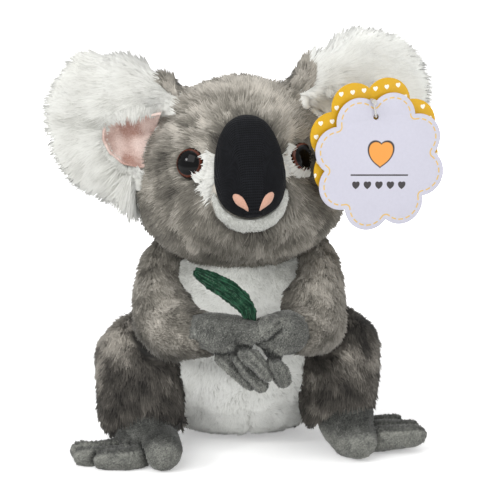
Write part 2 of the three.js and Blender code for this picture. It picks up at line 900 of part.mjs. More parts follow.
const headInWorld = (solid) => movedBy(solid, headMatrix);
const inHead = (solid) => movedBy(solid, intoHead);

const neckBottom = torsoHeight - plushThickness * 4;
function neckColumn(grow) {
  const radius = neckOpening / 2 + grow;
  const column = new THREE.CylinderGeometry(radius, radius, headLift - neckBottom, roundSides);
  const place = vector(0, -headForward / 2, (headLift + neckBottom) / 2);
  return solidOf(column, new THREE.Matrix4().makeRotationX(turn / 4).setPosition(place));
}

const headCore = (grow) => headForm(-plushThickness - grow, coreRings, coreAround);
const torsoCore = (grow) => torsoForm(-plushThickness - grow, coreRings, coreAround);
const patchGap = seamGap / 2;

const headShell = cutBy(headOuter, headCore(0), inHead(neckColumn(0)), ...eyePockets, ...washerPockets);
const eyePatch = (sign) => headShell.intersect(eyePatchCutter(sign, -patchGap));
const headSkin = cutBy(headShell, ...bothSides.map(([, sign]) => eyePatchCutter(sign, patchGap)));
const headStuffing = cutBy(headCore(seamGap), ...eyePockets, ...washerPockets);

// Belly panel let into the front of the torso skin
const bellyWidthShare = 0.97;
const bellyReachShare = 0.85;
const bellyHeightShare = 1.5;
const bellyLiftShare = 0.5;
const bellyCutter = (grow) =>
  ellipsoid(
    [0, -torsoDepth / 2, bellyLiftShare * torsoHeight],
    [
      (bellyWidthShare * torsoWidth) / 2 + grow,
      (bellyReachShare * torsoDepth) / 2 + grow,
      (bellyHeightShare * torsoHeight) / 2 + grow,
    ],
  );

const headClearWorld = headInWorld(headClear);
const torsoShell = cutBy(torsoOuter, torsoCore(0), headClearWorld, neckColumn(0));
const torsoStuffing = cutBy(
  joined(cutBy(torsoCore(seamGap), headClearWorld), neckColumn(-seamGap)),
  headInWorld(headCore(0)),
);
const torsoClear = torsoForm(seamGap);
const stemClear = inHead(movedBy(stemForm(seamGap), tagMatrix));

const handTools = { left: handForm("left", seamGap), right: handForm("right", seamGap) };
const handCuts = { left: [], right: [handTools.left] };

function armParts(side) {
  const blockers = [torsoClear, headClearWorld, handTools[side]];
  return {
    skin: cutBy(armForm(side, 0), armForm(side, -plushThickness, coreFacets), ...blockers),
    stuffing: cutBy(armForm(side, -plushThickness - seamGap, coreFacets), ...blockers),
  };
}

function legParts(side) {
  const blockers = [torsoClear, armForm(side, seamGap), footForm(side, seamGap)];
  const outer = legForm(side, 0).intersect(aboveFloor);
  return {
    skin: cutBy(outer, legForm(side, -plushThickness, coreFacets), ...blockers),
    stuffing: cutBy(legForm(side, -plushThickness - seamGap, coreFacets), ...blockers),
  };
}

function handParts(side) {
  return {
    skin: cutBy(handForm(side, 0), palmCore(side, 0, openWristShare), torsoClear, ...handCuts[side]),
    stuffing: cutBy(palmCore(side, seamGap), torsoClear, ...handCuts[side]),
  };
}

function footParts(side) {
  return {
    skin: cutBy(footForm(side, 0).intersect(aboveFloor), footCore(side, 0, openAnkleShare), torsoClear),
    stuffing: cutBy(footCore(side, seamGap), torsoClear),
  };
}

// Colours and finishes

const finish = (color, roughness) => new THREE.MeshStandardMaterial({ color, roughness });
const greyPlush = finish(0x8f8882, 0.95);
const darkPlush = finish(0x6b6660, 0.95);
const palePlush = finish(0xe9e9e4, 0.95);
const shortPlush = finish(0x6f706e, 0.9);
const pinkSatin = finish(0xd9a99c, 0.55);
const blackKnit = finish(0x18191b, 0.85);
const peachSatin = finish(0xe0a98c, 0.6);
const eyePlastic = finish(0x1c100c, 0.08);
const washerPlastic = finish(0xdadada, 0.5);
const fibre = finish(0xf4f2ec, 1);
const greenFelt = finish(0x1f5a3a, 0.95);
const whiteCard = finish(0xe8e8f2, 0.6);
const yellowCard = finish(0xe6b319, 0.6);
const clearNylon = finish(0xe4dcd2, 0.3);

const koala = new THREE.Group();
const head = new THREE.Group();
head.applyMatrix4(headMatrix);
const tags = new THREE.Group();
tags.applyMatrix4(tagMatrix);
koala.add(head, tags);

function addPiece(parent, name, shape, material) {
  const mesh = new THREE.Mesh(shape.isBufferGeometry ? shape : geometryOf(mainBody(shape)), material);
  mesh.name = name;
  parent.add(mesh);
  return mesh;
}

addPiece(koala, "torso_skin", cutBy(torsoShell, bellyCutter(patchGap)), greyPlush);
addPiece(koala, "belly_panel", torsoShell.intersect(bellyCutter(-patchGap)), palePlush);
addPiece(koala, "torso_stuffing", torsoStuffing, fibre);

addPiece(head, "head_skin", headSkin, greyPlush);
addPiece(head, "head_stuffing", headStuffing, fibre);
addPiece(head, "muzzle_panel", cutBy(muzzleForm, headClear, noseForm(seamGap)), palePlush);
addPiece(head, "nose", cutBy(noseForm(0), headClear, nostril(-1, seamGap), nostril(1, seamGap)), blackKnit);

for (const [side, sign] of bothSides) {
  addPiece(head, `nostril_${side}`, nostril(sign, 0), peachSatin);
  addPiece(head, `eye_${side}`, solidOf(turnedForm(eyeProfile()), eyeMatrix(sign)), eyePlastic);
  addPiece(head, `eye_washer_${side}`, solidOf(turnedForm(washerProfile()), eyeMatrix(sign)), washerPlastic);
  addPiece(head, `eye_patch_${side}`, eyePatch(sign), palePlush);

  const ear = earParts(side);
  addPiece(head, `ear_pile_${side}`, cutBy(ear.pile, stemClear), palePlush);
  addPiece(head, `ear_lining_${side}`, cutBy(ear.lining, stemClear), pinkSatin);
  addPiece(head, `ear_back_${side}`, cutBy(ear.back, stemClear), greyPlush);

  const arm = armParts(side);
  addPiece(koala, `arm_skin_${side}`, arm.skin, greyPlush);
  addPiece(koala, `arm_stuffing_${side}`, arm.stuffing, fibre);
  const hand = handParts(side);
  addPiece(koala, `hand_skin_${side}`, hand.skin, shortPlush);
  addPiece(koala, `hand_stuffing_${side}`, hand.stuffing, fibre);

  const leg = legParts(side);
  addPiece(koala, `leg_skin_${side}`, leg.skin, darkPlush);
  addPiece(koala, `leg_stuffing_${side}`, leg.stuffing, fibre);
  const foot = footParts(side);
  addPiece(koala, `foot_skin_${side}`, foot.skin, shortPlush);
  addPiece(koala, `foot_stuffing_${side}`, foot.stuffing, fibre);
}

addPiece(koala, "leaf", cutBy(leafForm(0), handTools.left, handTools.right, torsoClear), greenFelt);

const frontCard = addPiece(tags, "tag_card_front", cardGeometry(), whiteCard);
frontCard.position.set(ringSway, -cardSpacing, -ringDrop - holeDrop);
frontCard.rotation.y = -cardLean;
const backCard = addPiece(tags, "tag_card_back", cardGeometry(), yellowCard);
backCard.position.set(0, 0, -holeDrop);
backCard.rotation.y = -cardLean;
addPiece(tags, "tag_stem", stemForm(0), clearNylon);
addPiece(tags, "tag_ring", ringForm(), clearNylon);

export default koala;
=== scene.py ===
import math

import bpy
import numpy as np
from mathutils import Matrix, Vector
from mathutils.bvhtree import BVHTree
from mathutils.kdtree import KDTree


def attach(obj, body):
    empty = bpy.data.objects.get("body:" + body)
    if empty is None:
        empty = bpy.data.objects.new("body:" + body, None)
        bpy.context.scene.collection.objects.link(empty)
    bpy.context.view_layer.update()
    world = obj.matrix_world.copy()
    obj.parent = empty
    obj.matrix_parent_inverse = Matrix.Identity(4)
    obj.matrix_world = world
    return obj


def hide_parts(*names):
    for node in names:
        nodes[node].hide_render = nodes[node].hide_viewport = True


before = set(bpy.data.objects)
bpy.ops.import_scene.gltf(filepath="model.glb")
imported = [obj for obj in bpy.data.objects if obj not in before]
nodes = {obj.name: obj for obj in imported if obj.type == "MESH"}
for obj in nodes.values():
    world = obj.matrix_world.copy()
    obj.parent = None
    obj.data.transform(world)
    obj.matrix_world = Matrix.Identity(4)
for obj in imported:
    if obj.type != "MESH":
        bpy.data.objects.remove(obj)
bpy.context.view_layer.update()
mm = 0.001
toyBody = "koala"
sides = ("left", "right")


def stageDone(words):
    print("koala:", words)


# Shader groups


def newGroup(name, inputs, outputs):
    group = bpy.data.node_groups.new(name, "ShaderNodeTree")
    for label, kind, value in inputs:
        socket = group.interface.new_socket(label, in_out="INPUT", socket_type="NodeSocket" + kind)
        socket.default_value = value
    for label, kind in outputs:
        group.interface.new_socket(label, in_out="OUTPUT", socket_type="NodeSocket" + kind)
    return group, group.nodes.new("NodeGroupInput"), group.nodes.new("NodeGroupOutput")


def feed(tree, socket, value):
    if isinstance(value, (int, float, tuple)):
        socket.default_value = value
    else:
        tree.links.new(value, socket)


def sums(tree, operation, first, second=0.0, third=0.0, clamp=False):
    node = tree.nodes.new("ShaderNodeMath")
    node.operation = operation
    node.use_clamp = clamp
    for socket, value in zip(node.inputs, (first, second, third)):
        feed(tree, socket, value)
    return node.outputs[0]


def blend(tree, share, first, second, mode="MIX"):
    node = tree.nodes.new("ShaderNodeMix")
    node.data_type = "RGBA"
    node.blend_type = mode
    for socket, value in ((node.inputs[0], share), (node.inputs[6], first), (node.inputs[7], second)):
        feed(tree, socket, value)
    return node.outputs[2]


def smoothStep(tree, value, low, high):
    node = tree.nodes.new("ShaderNodeMapRange")
    node.interpolation_type = "SMOOTHSTEP"
    feed(tree, node.inputs["Value"], value)
    feed(tree, node.inputs["From Min"], low)
    feed(tree, node.inputs["From Max"], high)
    return node.outputs[0]


def noiseAt(tree, place, scale, detail=2.0, roughness=0.55):
    node = tree.nodes.new("ShaderNodeTexNoise")
    node.inputs["Scale"].default_value = scale
    node.inputs["Detail"].default_value = detail
    node.inputs["Roughness"].default_value = roughness
    tree.links.new(place, node.inputs["Vector"])
    return node.outputs[0]


def objectPlace(tree):
    return tree.nodes.new("ShaderNodeTexCoord").outputs["Object"]


def attributeOf(tree, name):
    node = tree.nodes.new("ShaderNodeAttribute")
    node.attribute_name = name
    return node.outputs["Fac"]


def bumpFrom(tree, shader, height, strength, distance):
    bump = tree.nodes.new("ShaderNodeBump")
    bump.inputs["Strength"].default_value = strength
    bump.inputs["Distance"].default_value = distance
    feed(tree, bump.inputs["Height"], height)
    tree.links.new(bump.outputs[0], shader.inputs["Normal"])


# a colour as a screen shows it, 0 to 255, made linear for the shaders
def rgb(red, green, blue):
    shares = [c / 255 for c in (red, green, blue)]
    return (*[c / 12.92 if c <= 0.04045 else ((c + 0.055) / 1.055) ** 2.4 for c in shares], 1.0)


def placeGroup(tree, group, **values):
    node = tree.nodes.new("ShaderNodeGroup")
    node.node_tree = group
    for name, value in values.items():
        feed(tree, node.inputs[name], value)
    return node


# plush colour: painted shade at the root, mottled over the piece, frosted at the tips
def makePileGroup():
    group, enter, leave = newGroup(
        "pileColour",
        [
            ("Tone", "Float", 0.5),
            ("Along", "Float", 0.5),
            ("Dark", "Color", (0, 0, 0, 1)),
            ("Middle", "Color", (0.2, 0.2, 0.2, 1)),
            ("Light", "Color", (0.8, 0.8, 0.8, 1)),
            ("Mottle", "Float", 0.8),
            ("Frost", "Float", 0.2),
            ("RootShade", "Float", 0.5),
        ],
        [("Color", "Color")],
    )
    put = enter.outputs
    place = objectPlace(group)
    broad = sums(group, "SUBTRACT", noiseAt(group, place, 170, 3.0), 0.5)
    fine = sums(group, "SUBTRACT", noiseAt(group, place, 700, 2.0), 0.5)
    mottled = sums(group, "ADD", broad, sums(group, "MULTIPLY", fine, 0.5))
    tone = sums(group, "MULTIPLY_ADD", mottled, put["Mottle"], put["Tone"])
    tipped = sums(group, "SUBTRACT", sums(group, "POWER", put["Along"], 2.0), 0.35)
    tone = sums(group, "MULTIPLY_ADD", tipped, put["Frost"], tone, clamp=True)
    low = sums(group, "MULTIPLY", tone, 2.0, clamp=True)
    high = sums(group, "MULTIPLY_ADD", tone, 2.0, -1.0, clamp=True)
    colour = blend(group, high, blend(group, low, put["Dark"], put["Middle"]), put["Light"])
    # painted shade: the strand darkens towards its root
    under = sums(group, "SUBTRACT", 1.0, put["Along"], clamp=True)
    shade = sums(group, "MULTIPLY", sums(group, "MULTIPLY", under, under), put["RootShade"], clamp=True)
    group.links.new(blend(group, shade, colour, (0.01, 0.009, 0.008, 1)), leave.inputs["Color"])
    return group


pileGroup = makePileGroup()


def newMaterial(name, roughness, sheen=0.0, specular=0.3, sheenRoughness=0.45):
    material = bpy.data.materials.new(name)
    material.use_nodes = True
    shader = material.node_tree.nodes["Principled BSDF"]
    shader.inputs["Roughness"].default_value = roughness
    shader.inputs["Specular IOR Level"].default_value = specular
    shader.inputs["Sheen Weight"].default_value = sheen
    shader.inputs["Sheen Roughness"].default_value = sheenRoughness
    return material, material.node_tree, shader


def pileMaterial(name, look, backing=False):
    material, tree, shader = newMaterial(name, 0.8, look["sheen"], 0.12)
    # the backing takes the strands' painted root shade as at the middle of a strand
    node = placeGroup(
        tree,
        pileGroup,
        Tone=attributeOf(tree, "tone"),
        Along=0.55 if backing else attributeOf(tree, "along"),
        Dark=rgb(*look["dark"]),
        Middle=rgb(*look["middle"]),
        Light=rgb(*look["light"]),
        Mottle=look["mottle"],
        Frost=look["frost"],
        RootShade=look["rootShade"],
    )
    tree.links.new(node.outputs["Color"], shader.inputs["Base Color"])
    return material


# Camera, lamps and floor

view = {
    "place": (0.0055, -0.9781, 0.3102),
    "aim": (0.0055, 0.0, 0.1023),
    "lens": 130.9,
    "sensor": 36.0,
}
lamps = {
    "key": {"place": (-0.55, -0.85, 1.05), "size": 0.9, "power": 7.5},
    "glint": {"place": (-0.93, -0.55, 0.74), "size": 0.2, "power": 3.4},
    "fill": {"place": (0.95, -0.75, 0.45), "size": 1.1, "power": 5.5},
    "top": {"place": (0.1, 0.25, 1.3), "size": 1.0, "power": 3.5},
    "back": {"place": (-0.3, 1.2, 0.6), "size": 1.2, "power": 3.5},
}
lampAim = (0.0, 0.0, 0.11)
room = {
    "width": 8.0,
    "daylight": 0.58,
    "floor": 0.93,
    "floorGlow": 0.34,
    "glowStarts": 0.25,
    "glowFull": 0.75,
}


def aimAt(thing, target):
    heading = Vector(target) - thing.location
    thing.rotation_euler = heading.to_track_quat("-Z", "Y").to_euler()


def addCamera():
    bpy.ops.object.camera_add(location=view["place"])
    camera = bpy.context.object
    camera.name = "photoCamera"
    camera.data.lens = view["lens"]
    camera.data.sensor_width = view["sensor"]
    aimAt(camera, view["aim"])
    bpy.context.scene.camera = camera


def addLamps():
    for name, lamp in lamps.items():
        bpy.ops.object.light_add(type="AREA", location=lamp["place"])
        light = bpy.context.object
        light.name = name + "Lamp"
        light.data.energy = lamp["power"]
        light.data.size = lamp["size"]
        aimAt(light, lampAim)


# white where the camera, a mirror or glass looks, and plain daylight for the rest
def directLook(tree):
    path = tree.nodes.new("ShaderNodeLightPath")
    through = sums(tree, "MAXIMUM", path.outputs["Is Camera Ray"], path.outputs["Is Transmission Ray"])
    return sums(tree, "MAXIMUM", through, path.outputs["Is Glossy Ray"])


def addRoom():
    world = bpy.data.worlds.new("paleRoom")
    bpy.context.scene.world = world
    world.use_nodes = True
    tree = world.node_tree
    tree.nodes.clear()
    out = tree.nodes.new("ShaderNodeOutputWorld")
    lit = tree.nodes.new("ShaderNodeBackground")
    lit.inputs["Strength"].default_value = room["daylight"]
    seen = tree.nodes.new("ShaderNodeBackground")
    seen.inputs["Color"].default_value = (1, 1, 1, 1)
    seen.inputs["Strength"].default_value = 1.0
    mix = tree.nodes.new("ShaderNodeMixShader")
    tree.links.new(directLook(tree), mix.inputs[0])
    tree.links.new(lit.outputs[0], mix.inputs[1])
    tree.links.new(seen.outputs[0], mix.inputs[2])
    tree.links.new(mix.outputs[0], out.inputs[0])
    bpy.ops.mesh.primitive_plane_add(size=room["width"], location=(0, 0, 0))
    floor = bpy.context.object
    floor.name = "floor"
    material, tree, shader = newMaterial("paleFloor", 0.9, 0.0, 0.1)
    shader.inputs["Base Color"].default_value = (room["floor"], room["floor"], room["floor"], 1)
    shader.inputs["Emission Color"].default_value = (1, 1, 1, 1)
    far = tree.nodes.new("ShaderNodeVectorMath")
    far.operation = "LENGTH"
    tree.links.new(objectPlace(tree), far.inputs[0])
    glow = tree.nodes.new("ShaderNodeMapRange")
    glow.inputs["From Min"].default_value = room["glowStarts"]
    glow.inputs["From Max"].default_value = room["glowFull"]
    glow.inputs["To Min"].default_value = room["floorGlow"]
    glow.inputs["To Max"].default_value = 1.0
    tree.links.new(far.outputs["Value"], glow.inputs["Value"])
    shown = sums(tree, "MULTIPLY", glow.outputs[0], directLook(tree))
    tree.links.new(shown, shader.inputs["Emission Strength"])
    floor.data.materials.append(material)


addCamera()
addLamps()
addRoom()
bpy.context.scene.view_settings.view_transform = "Standard"
stageDone("camera, lamps and floor")

# Workshop: picking, copying, stuffing


def pickOnly(*things):
    bpy.ops.object.select_all(action="DESELECT")
    for thing in things:
        thing.select_set(True)
    bpy.context.view_layer.objects.active = things[0]


def finishWith(piece, kind, **values):
    modifier = piece.modifiers.new(kind.title(), kind)
    for key, value in values.items():
        setattr(modifier, key, value)
    pickOnly(piece)
    bpy.ops.object.modifier_apply(modifier=modifier.name)


def copyOf(name, *sources):
    pieces = []
    for source in sources:
        mesh = (nodes[source] if isinstance(source, str) else source).data
        piece = bpy.data.objects.new(name, mesh.copy())
        bpy.context.scene.collection.objects.link(piece)
        piece.data.materials.clear()
        pieces.append(piece)
    pickOnly(*pieces)
    if len(pieces) > 1:
        bpy.ops.object.join()
    piece = bpy.context.object
    bpy.ops.object.mode_set(mode="EDIT")
    bpy.ops.mesh.select_all(action="SELECT")
    bpy.ops.mesh.remove_doubles(threshold=0.00001)
    bpy.ops.object.mode_set(mode="OBJECT")
    return piece


def keepLargest(piece):
    pickOnly(piece)
    bpy.ops.mesh.separate(type="LOOSE")
    parts = sorted(bpy.context.selected_objects, key=lambda part: -len(part.data.vertices))
    name = piece.name
    for part in parts[1:]:
        bpy.data.objects.remove(part)
    parts[0].name = name
    return parts[0]


# leaves only the wanted faces of a piece
def cutOut(piece, wanted):
    pickOnly(piece)
    bpy.ops.object.mode_set(mode="EDIT")
    bpy.ops.mesh.select_all(action="DESELECT")
    bpy.ops.object.mode_set(mode="OBJECT")
    piece.data.polygons.foreach_set("select", ~wanted)
    bpy.ops.object.mode_set(mode="EDIT")
    bpy.ops.mesh.select_mode(type="FACE")
    bpy.ops.mesh.delete(type="FACE")
    bpy.ops.object.mode_set(mode="OBJECT")


# turns all faces of a piece outward
def faceOutward(piece):
    pickOnly(piece)
    bpy.ops.object.mode_set(mode="EDIT")
    bpy.ops.mesh.select_all(action="SELECT")
    bpy.ops.mesh.normals_make_consistent(inside=False)
    bpy.ops.object.mode_set(mode="OBJECT")


def faceValues(piece, key):
    return np.array([tuple(getattr(face, key)) for face in piece.data.polygons])


def pointsOf(piece):
    flat = np.zeros(len(piece.data.vertices) * 3)
    piece.data.vertices.foreach_get("co", flat)
    return flat.reshape(-1, 3)


def normalsOf(piece):
    flat = np.zeros(len(piece.data.vertices) * 3)
    piece.data.vertex_normals.foreach_get("vector", flat)
    return flat.reshape(-1, 3)


def setPoints(piece, points):
    piece.data.vertices.foreach_set("co", np.ascontiguousarray(points, dtype=np.float32).ravel())
    piece.data.update()


def unit(vectors):
    return vectors / np.maximum(np.linalg.norm(vectors, axis=-1), 1e-12)[..., None]


cloth = {"frames": 20, "quality": 4, "mass": 0.2}


# blows the fabric up a little and caps how far it moves
def puffUp(piece, pressure, limit):
    puff = piece.modifiers.new("Puff", "CLOTH")
    puff.settings.quality = cloth["quality"]
    puff.settings.mass = cloth["mass"]
    puff.settings.use_pressure = True
    puff.settings.uniform_pressure_force = pressure
    puff.settings.effector_weights.gravity = 0
    puff.point_cache.frame_end = cloth["frames"]
    scene = bpy.context.scene
    for step in range(1, cloth["frames"] + 1):
        scene.frame_set(step)
    puffed = pointsOf(piece.evaluated_get(bpy.context.evaluated_depsgraph_get()))
    rest = pointsOf(piece)
    move = puffed - rest
    reach = np.linalg.norm(move, axis=1)
    move *= np.minimum(1, limit / np.maximum(reach, 1e-9))[:, None]
    piece.modifiers.remove(puff)
    scene.frame_set(1)
    setPoints(piece, rest + move)


def roundOff(piece, voxel, times):
    finishWith(piece, "REMESH", mode="VOXEL", voxel_size=voxel, use_smooth_shade=True)
    piece = keepLargest(piece)
    finishWith(piece, "SMOOTH", factor=0.5, iterations=times)
    return piece


# how much of each point faces a neighbour that it is sewn to, spread a little along the skin
def contactShare(piece, neighbours, reach=0.006, kept=0.4, rounds=2):
    share = coveredBy(treeFrom(*neighbours), pointsOf(piece), normalsOf(piece), reach).astype(float)
    ends = np.zeros(len(piece.data.edges) * 2, dtype=np.int64)
    piece.data.edges.foreach_get("vertices", ends)
    ends = ends.reshape(-1, 2)
    ways = np.maximum(np.bincount(ends.ravel(), minlength=len(share)), 1)
    for _ in range(rounds):
        total = np.bincount(ends[:, 0], share[ends[:, 1]], len(share))
        total += np.bincount(ends[:, 1], share[ends[:, 0]], len(share))
        share = kept * share + (1 - kept) * total / ways
    return share


# fullness that the stuffing gives: (place, reach, shift) in millimetres
def fillOut(piece, swells):
    points = pointsOf(piece)
    for place, reach, shift in swells:
        far = np.linalg.norm(points / mm - np.array(place), axis=1) / reach
        points = points + np.exp(-(far**2))[:, None] * np.array(shift) * mm
    points[:, 2] = np.maximum(points[:, 2], 0)
    setPoints(piece, points)


# the skin under the pile: sunk by the pile's depth, but full where it is sewn to its neighbours
sewing = {"out": 0.002, "voxelShare": 0.8, "smooth": 4}


def stuffed(name, sources, look, beside=(), swells=()):
    piece = roundOff(copyOf(name, *sources), look["voxel"], look["smooth"])
    fillOut(piece, swells)
    if look.get("pressure"):
        setPoints(piece, pointsOf(piece) - normalsOf(piece) * look["slack"])
        puffUp(piece, look["pressure"], look["limit"])
    if look.get("depth"):
        sunk = np.full(len(piece.data.vertices), look["depth"])
        if beside:
            sewn = contactShare(piece, beside)
            sunk = sunk * (1 - sewn) - sewing["out"] * sewn
        setPoints(piece, pointsOf(piece) - normalsOf(piece) * sunk[:, None])
        piece = roundOff(piece, look["voxel"] * sewing["voxelShare"], sewing["smooth"])
    if look.get("rounds"):
        finishWith(piece, "SUBSURF", levels=look["rounds"], render_levels=look["rounds"])
    pickOnly(piece)
    bpy.ops.object.shade_smooth()
    return piece


def treeFrom(*sources):
    corners = []
    faces = []
    for source in sources:
        mesh = (nodes[source] if isinstance(source, str) else source).data
        start = len(corners)
        corners += [vertex.co.copy() for vertex in mesh.vertices]
        faces += [tuple(start + i for i in face.vertices) for face in mesh.polygons]
    return BVHTree.FromPolygons(corners, faces)


def gapsTo(tree, points):
    return np.array([tree.find_nearest(point)[3] for point in points])


# which roots have one of these pieces right over them
def coveredBy(tree, roots, outward, reach):
    return np.array([tree.ray_cast(p, n, reach)[0] is not None for p, n in zip(roots, outward)], dtype=bool)


def openTo(*sources, reach=0.009):
    tree = treeFrom(*sources)
    return lambda roots, outward: ~coveredBy(tree, roots, outward, reach)


# shortens the pile near the pieces it is sewn against
def shortNear(*sources, least=0.5, span=0.009):
    tree = treeFrom(*sources)

    def reach(points):
        return np.clip(gapsTo(tree, points) / span, least, 1)

    return reach


def softNoise(points, size, seed):
    table = np.random.default_rng(seed).random((16, 16, 16))
    place = points / size + 1000
    cell = np.floor(place).astype(int)
    part = place - cell
    part = part * part * (3 - 2 * part)
    total = np.zeros(len(points))
    for i in (0, 1):
        for j in (0, 1):
            for k in (0, 1):
                share = np.abs(1 - i - part[:, 0]) * np.abs(1 - j - part[:, 1]) * np.abs(1 - k - part[:, 2])
                total += share * table[(cell[:, 0] + i) % 16, (cell[:, 1] + j) % 16, (cell[:, 2] + k) % 16]
    return total


def noiseArrows(points, size, seed):
    return np.stack([softNoise(points, size, seed + i) - 0.5 for i in range(3)], axis=1) * 2


def putAttribute(piece, name, values):
    layer = piece.data.attributes.new(name, "FLOAT", "POINT")
    layer.data.foreach_set("value", np.asarray(values, dtype=np.float32))


# the gap from each point to the nearest point of some lines, and how far along that is
def gapToLines(points, lines, step=0.0004):
    spots = []
    runs = []
    for line in lines:
        line = np.asarray(line)
        run = 0.0
        for a, b in zip(line[:-1], line[1:]):
            length = np.linalg.norm(b - a)
            for share in np.arange(0, 1, step / max(length, step)):
                spots.append(a + (b - a) * share)
                runs.append(run + length * share)
            run += length
    tree = KDTree(len(spots))
    for i, spot in enumerate(spots):
        tree.insert(spot, i)
    tree.balance()
    found = [tree.find(point) for point in points]
    return np.array([f[2] for f in found]), np.array([runs[f[1]] for f in found])


# Pile: closed bent spikes, each a point under the skin, two sides half way up and a tip


def sampleSkin(piece, perSquareMm, seed, wanted=None):
    mesh = piece.data
    mesh.calc_loop_triangles()
    corners = np.zeros(len(mesh.loop_triangles) * 3, dtype=np.int32)
    mesh.loop_triangles.foreach_get("vertices", corners)
    corners = corners.reshape(-1, 3)
    points = pointsOf(piece)
    normals = normalsOf(piece)
    a, b, c = (points[corners[:, i]] for i in range(3))
    area = np.linalg.norm(np.cross(b - a, c - a), axis=1) / 2
    if wanted is not None:
        area = area * wanted((a + b + c) / 3)
    rng = np.random.default_rng(seed)
    count = int(area.sum() * 1e6 * perSquareMm)
    chosen = rng.choice(len(corners), count, p=area / area.sum())
    one, two = rng.random(count), rng.random(count)
    over = one + two > 1
    one[over], two[over] = 1 - one[over], 1 - two[over]
    shares = np.stack([1 - one - two, one, two], axis=1)
    roots = np.einsum("ij,ijk->ik", shares, points[corners[chosen]])
    outward = unit(np.einsum("ij,ijk->ik", shares, normals[corners[chosen]]))
    return roots, outward


strand = {
    "bend": 0.45,
    "angleSpread": 0.15,
    "thinnest": 0.7,
    "girthRange": 0.6,
    "pullLeast": 0.4,
    "floorGap": 0.0004,
    "perPiece": 48000,
}
spikeCorners = np.array([[0, 1, 2], [0, 2, 3], [0, 3, 1], [1, 3, 2]])


def spikesMesh(name, points, shading, tones, along):
    count = len(points)
    edges = points[:, 1:] - points[:, :1]
    turned = np.sum(edges[:, 0] * np.cross(edges[:, 1], edges[:, 2]), axis=1) > 0
    points = points.copy()
    shading = shading.copy()
    points[turned] = points[turned][:, [0, 2, 1, 3]]
    shading[turned] = shading[turned][:, [0, 2, 1, 3]]
    flat = points.reshape(-1, 3)
    faces = (spikeCorners[None] + (np.arange(count) * 4)[:, None, None]).reshape(-1, 3)
    mesh = bpy.data.meshes.new(name)
    mesh.vertices.add(len(flat))
    mesh.vertices.foreach_set("co", flat.astype(np.float32).ravel())
    mesh.loops.add(len(faces) * 3)
    mesh.loops.foreach_set("vertex_index", faces.ravel().astype(np.int32))
    mesh.polygons.add(len(faces))
    mesh.polygons.foreach_set("loop_start", np.arange(0, len(faces) * 3, 3, dtype=np.int32))
    mesh.update(calc_edges=True)
    mesh.validate()
    wide = int(math.ceil(math.sqrt(count)))
    cells = np.stack([np.arange(count) % wide, np.arange(count) // wide], axis=1)[:, None, :]
    within = np.array([[0.5, 0.05], [0.1, 0.5], [0.9, 0.5], [0.5, 0.95]])[None]
    places = ((cells + within) / wide).reshape(-1, 2)
    layer = mesh.uv_layers.new(name="OFBake")
    layer.data.foreach_set("uv", places[faces.ravel()].astype(np.float32).ravel())
    mesh.shade_smooth()
    mesh.normals_split_custom_set_from_vertices(unit(shading).reshape(-1, 3).tolist())
    coat = bpy.data.objects.new(name, mesh)
    bpy.context.scene.collection.objects.link(coat)
    putAttribute(coat, "tone", np.repeat(np.clip(tones, 0, 1), 4))
    putAttribute(coat, "along", np.tile(along, count))
    coat.visible_shadow = False
    return coat


def pileOn(name, piece, look, comb, tone, wanted=None, keep=None, reach=None, seed=1):
    roots, outward = sampleSkin(piece, look["perSquareMm"], seed, wanted)
    if keep is not None:
        kept = keep(roots, outward)
        roots, outward = roots[kept], outward[kept]
    rng = np.random.default_rng(seed + 77)
    count = len(roots)
    lean = comb(roots, outward)
    facing = outward if look.get("facing") is None else unit(outward * 0.3 + np.array(look["facing"]))
    lean = unit(lean - outward * np.sum(lean * outward, axis=1)[:, None])
    lean = lean + noiseArrows(roots, look["tuftSize"], seed + 5) * look["tufting"]
    lean = lean + noiseArrows(roots, look["tuftSize"] * 5, seed + 9) * look["swirl"]
    lean = lean + rng.normal(size=(count, 3)) * look["stray"]
    lean = unit(lean - outward * np.sum(lean * outward, axis=1)[:, None])
    length = look["length"] * (1 + look["uneven"] * (rng.random(count) * 2 - 1))
    if reach is not None:
        length = length * reach(roots)
    lift = np.radians(look["lift"]) + rng.normal(size=count) * strand["angleSpread"]
    fall = np.radians(look["fall"]) + rng.normal(size=count) * strand["angleSpread"]
    first = lean * np.cos(lift)[:, None] + outward * np.sin(lift)[:, None]
    second = lean * np.cos(fall)[:, None] + outward * np.sin(fall)[:, None]
    second[:, 2] -= look["droop"]
    second = unit(second)
    middles = roots + first * (length * strand["bend"])[:, None]
    tips = middles + second * (length * (1 - strand["bend"]))[:, None]
    leaders = rng.choice(count, max(1, int(count / look["clumpOf"])), replace=False)
    tree = KDTree(len(leaders))
    for i, leader in enumerate(leaders):
        tree.insert(roots[leader], i)
    tree.balance()
    follows = np.array([leaders[tree.find(root)[1]] for root in roots])
    pull = look["clump"] * (strand["pullLeast"] + (1 - strand["pullLeast"]) * rng.random(count))[:, None]
    tips = tips + (tips[follows] - tips) * pull
    middles = middles + (middles[follows] - middles) * pull * strand["bend"]
    for ends in (tips, middles):
        ends[:, 2] = np.maximum(ends[:, 2], strand["floorGap"])
    way = unit(middles - roots)
    side = unit(np.cross(way, outward))
    girth = look["width"] / 2 * (strand["thinnest"] + strand["girthRange"] * rng.random(count))[:, None]
    feet = roots - outward * look["root"]
    points = np.stack([feet, middles + side * girth, middles - side * girth, tips], axis=1)
    shading = np.stack([facing, side * 0.2 + facing, facing - side * 0.2, facing + way * 0.2], axis=1)
    tones = tone(roots, rng)
    along = np.array([0, 1 - strand["bend"], 1 - strand["bend"], 1.0])
    shares = math.ceil(count / strand["perPiece"])
    order = np.argsort(roots[:, 0], kind="stable")
    coats = []
    for i, part in enumerate(np.array_split(order, shares)):
        label = name + ("ABCDEFGH"[i] if shares > 1 else "")
        coats.append(spikesMesh(label, points[part], shading[part], tones[part], along))
    return coats


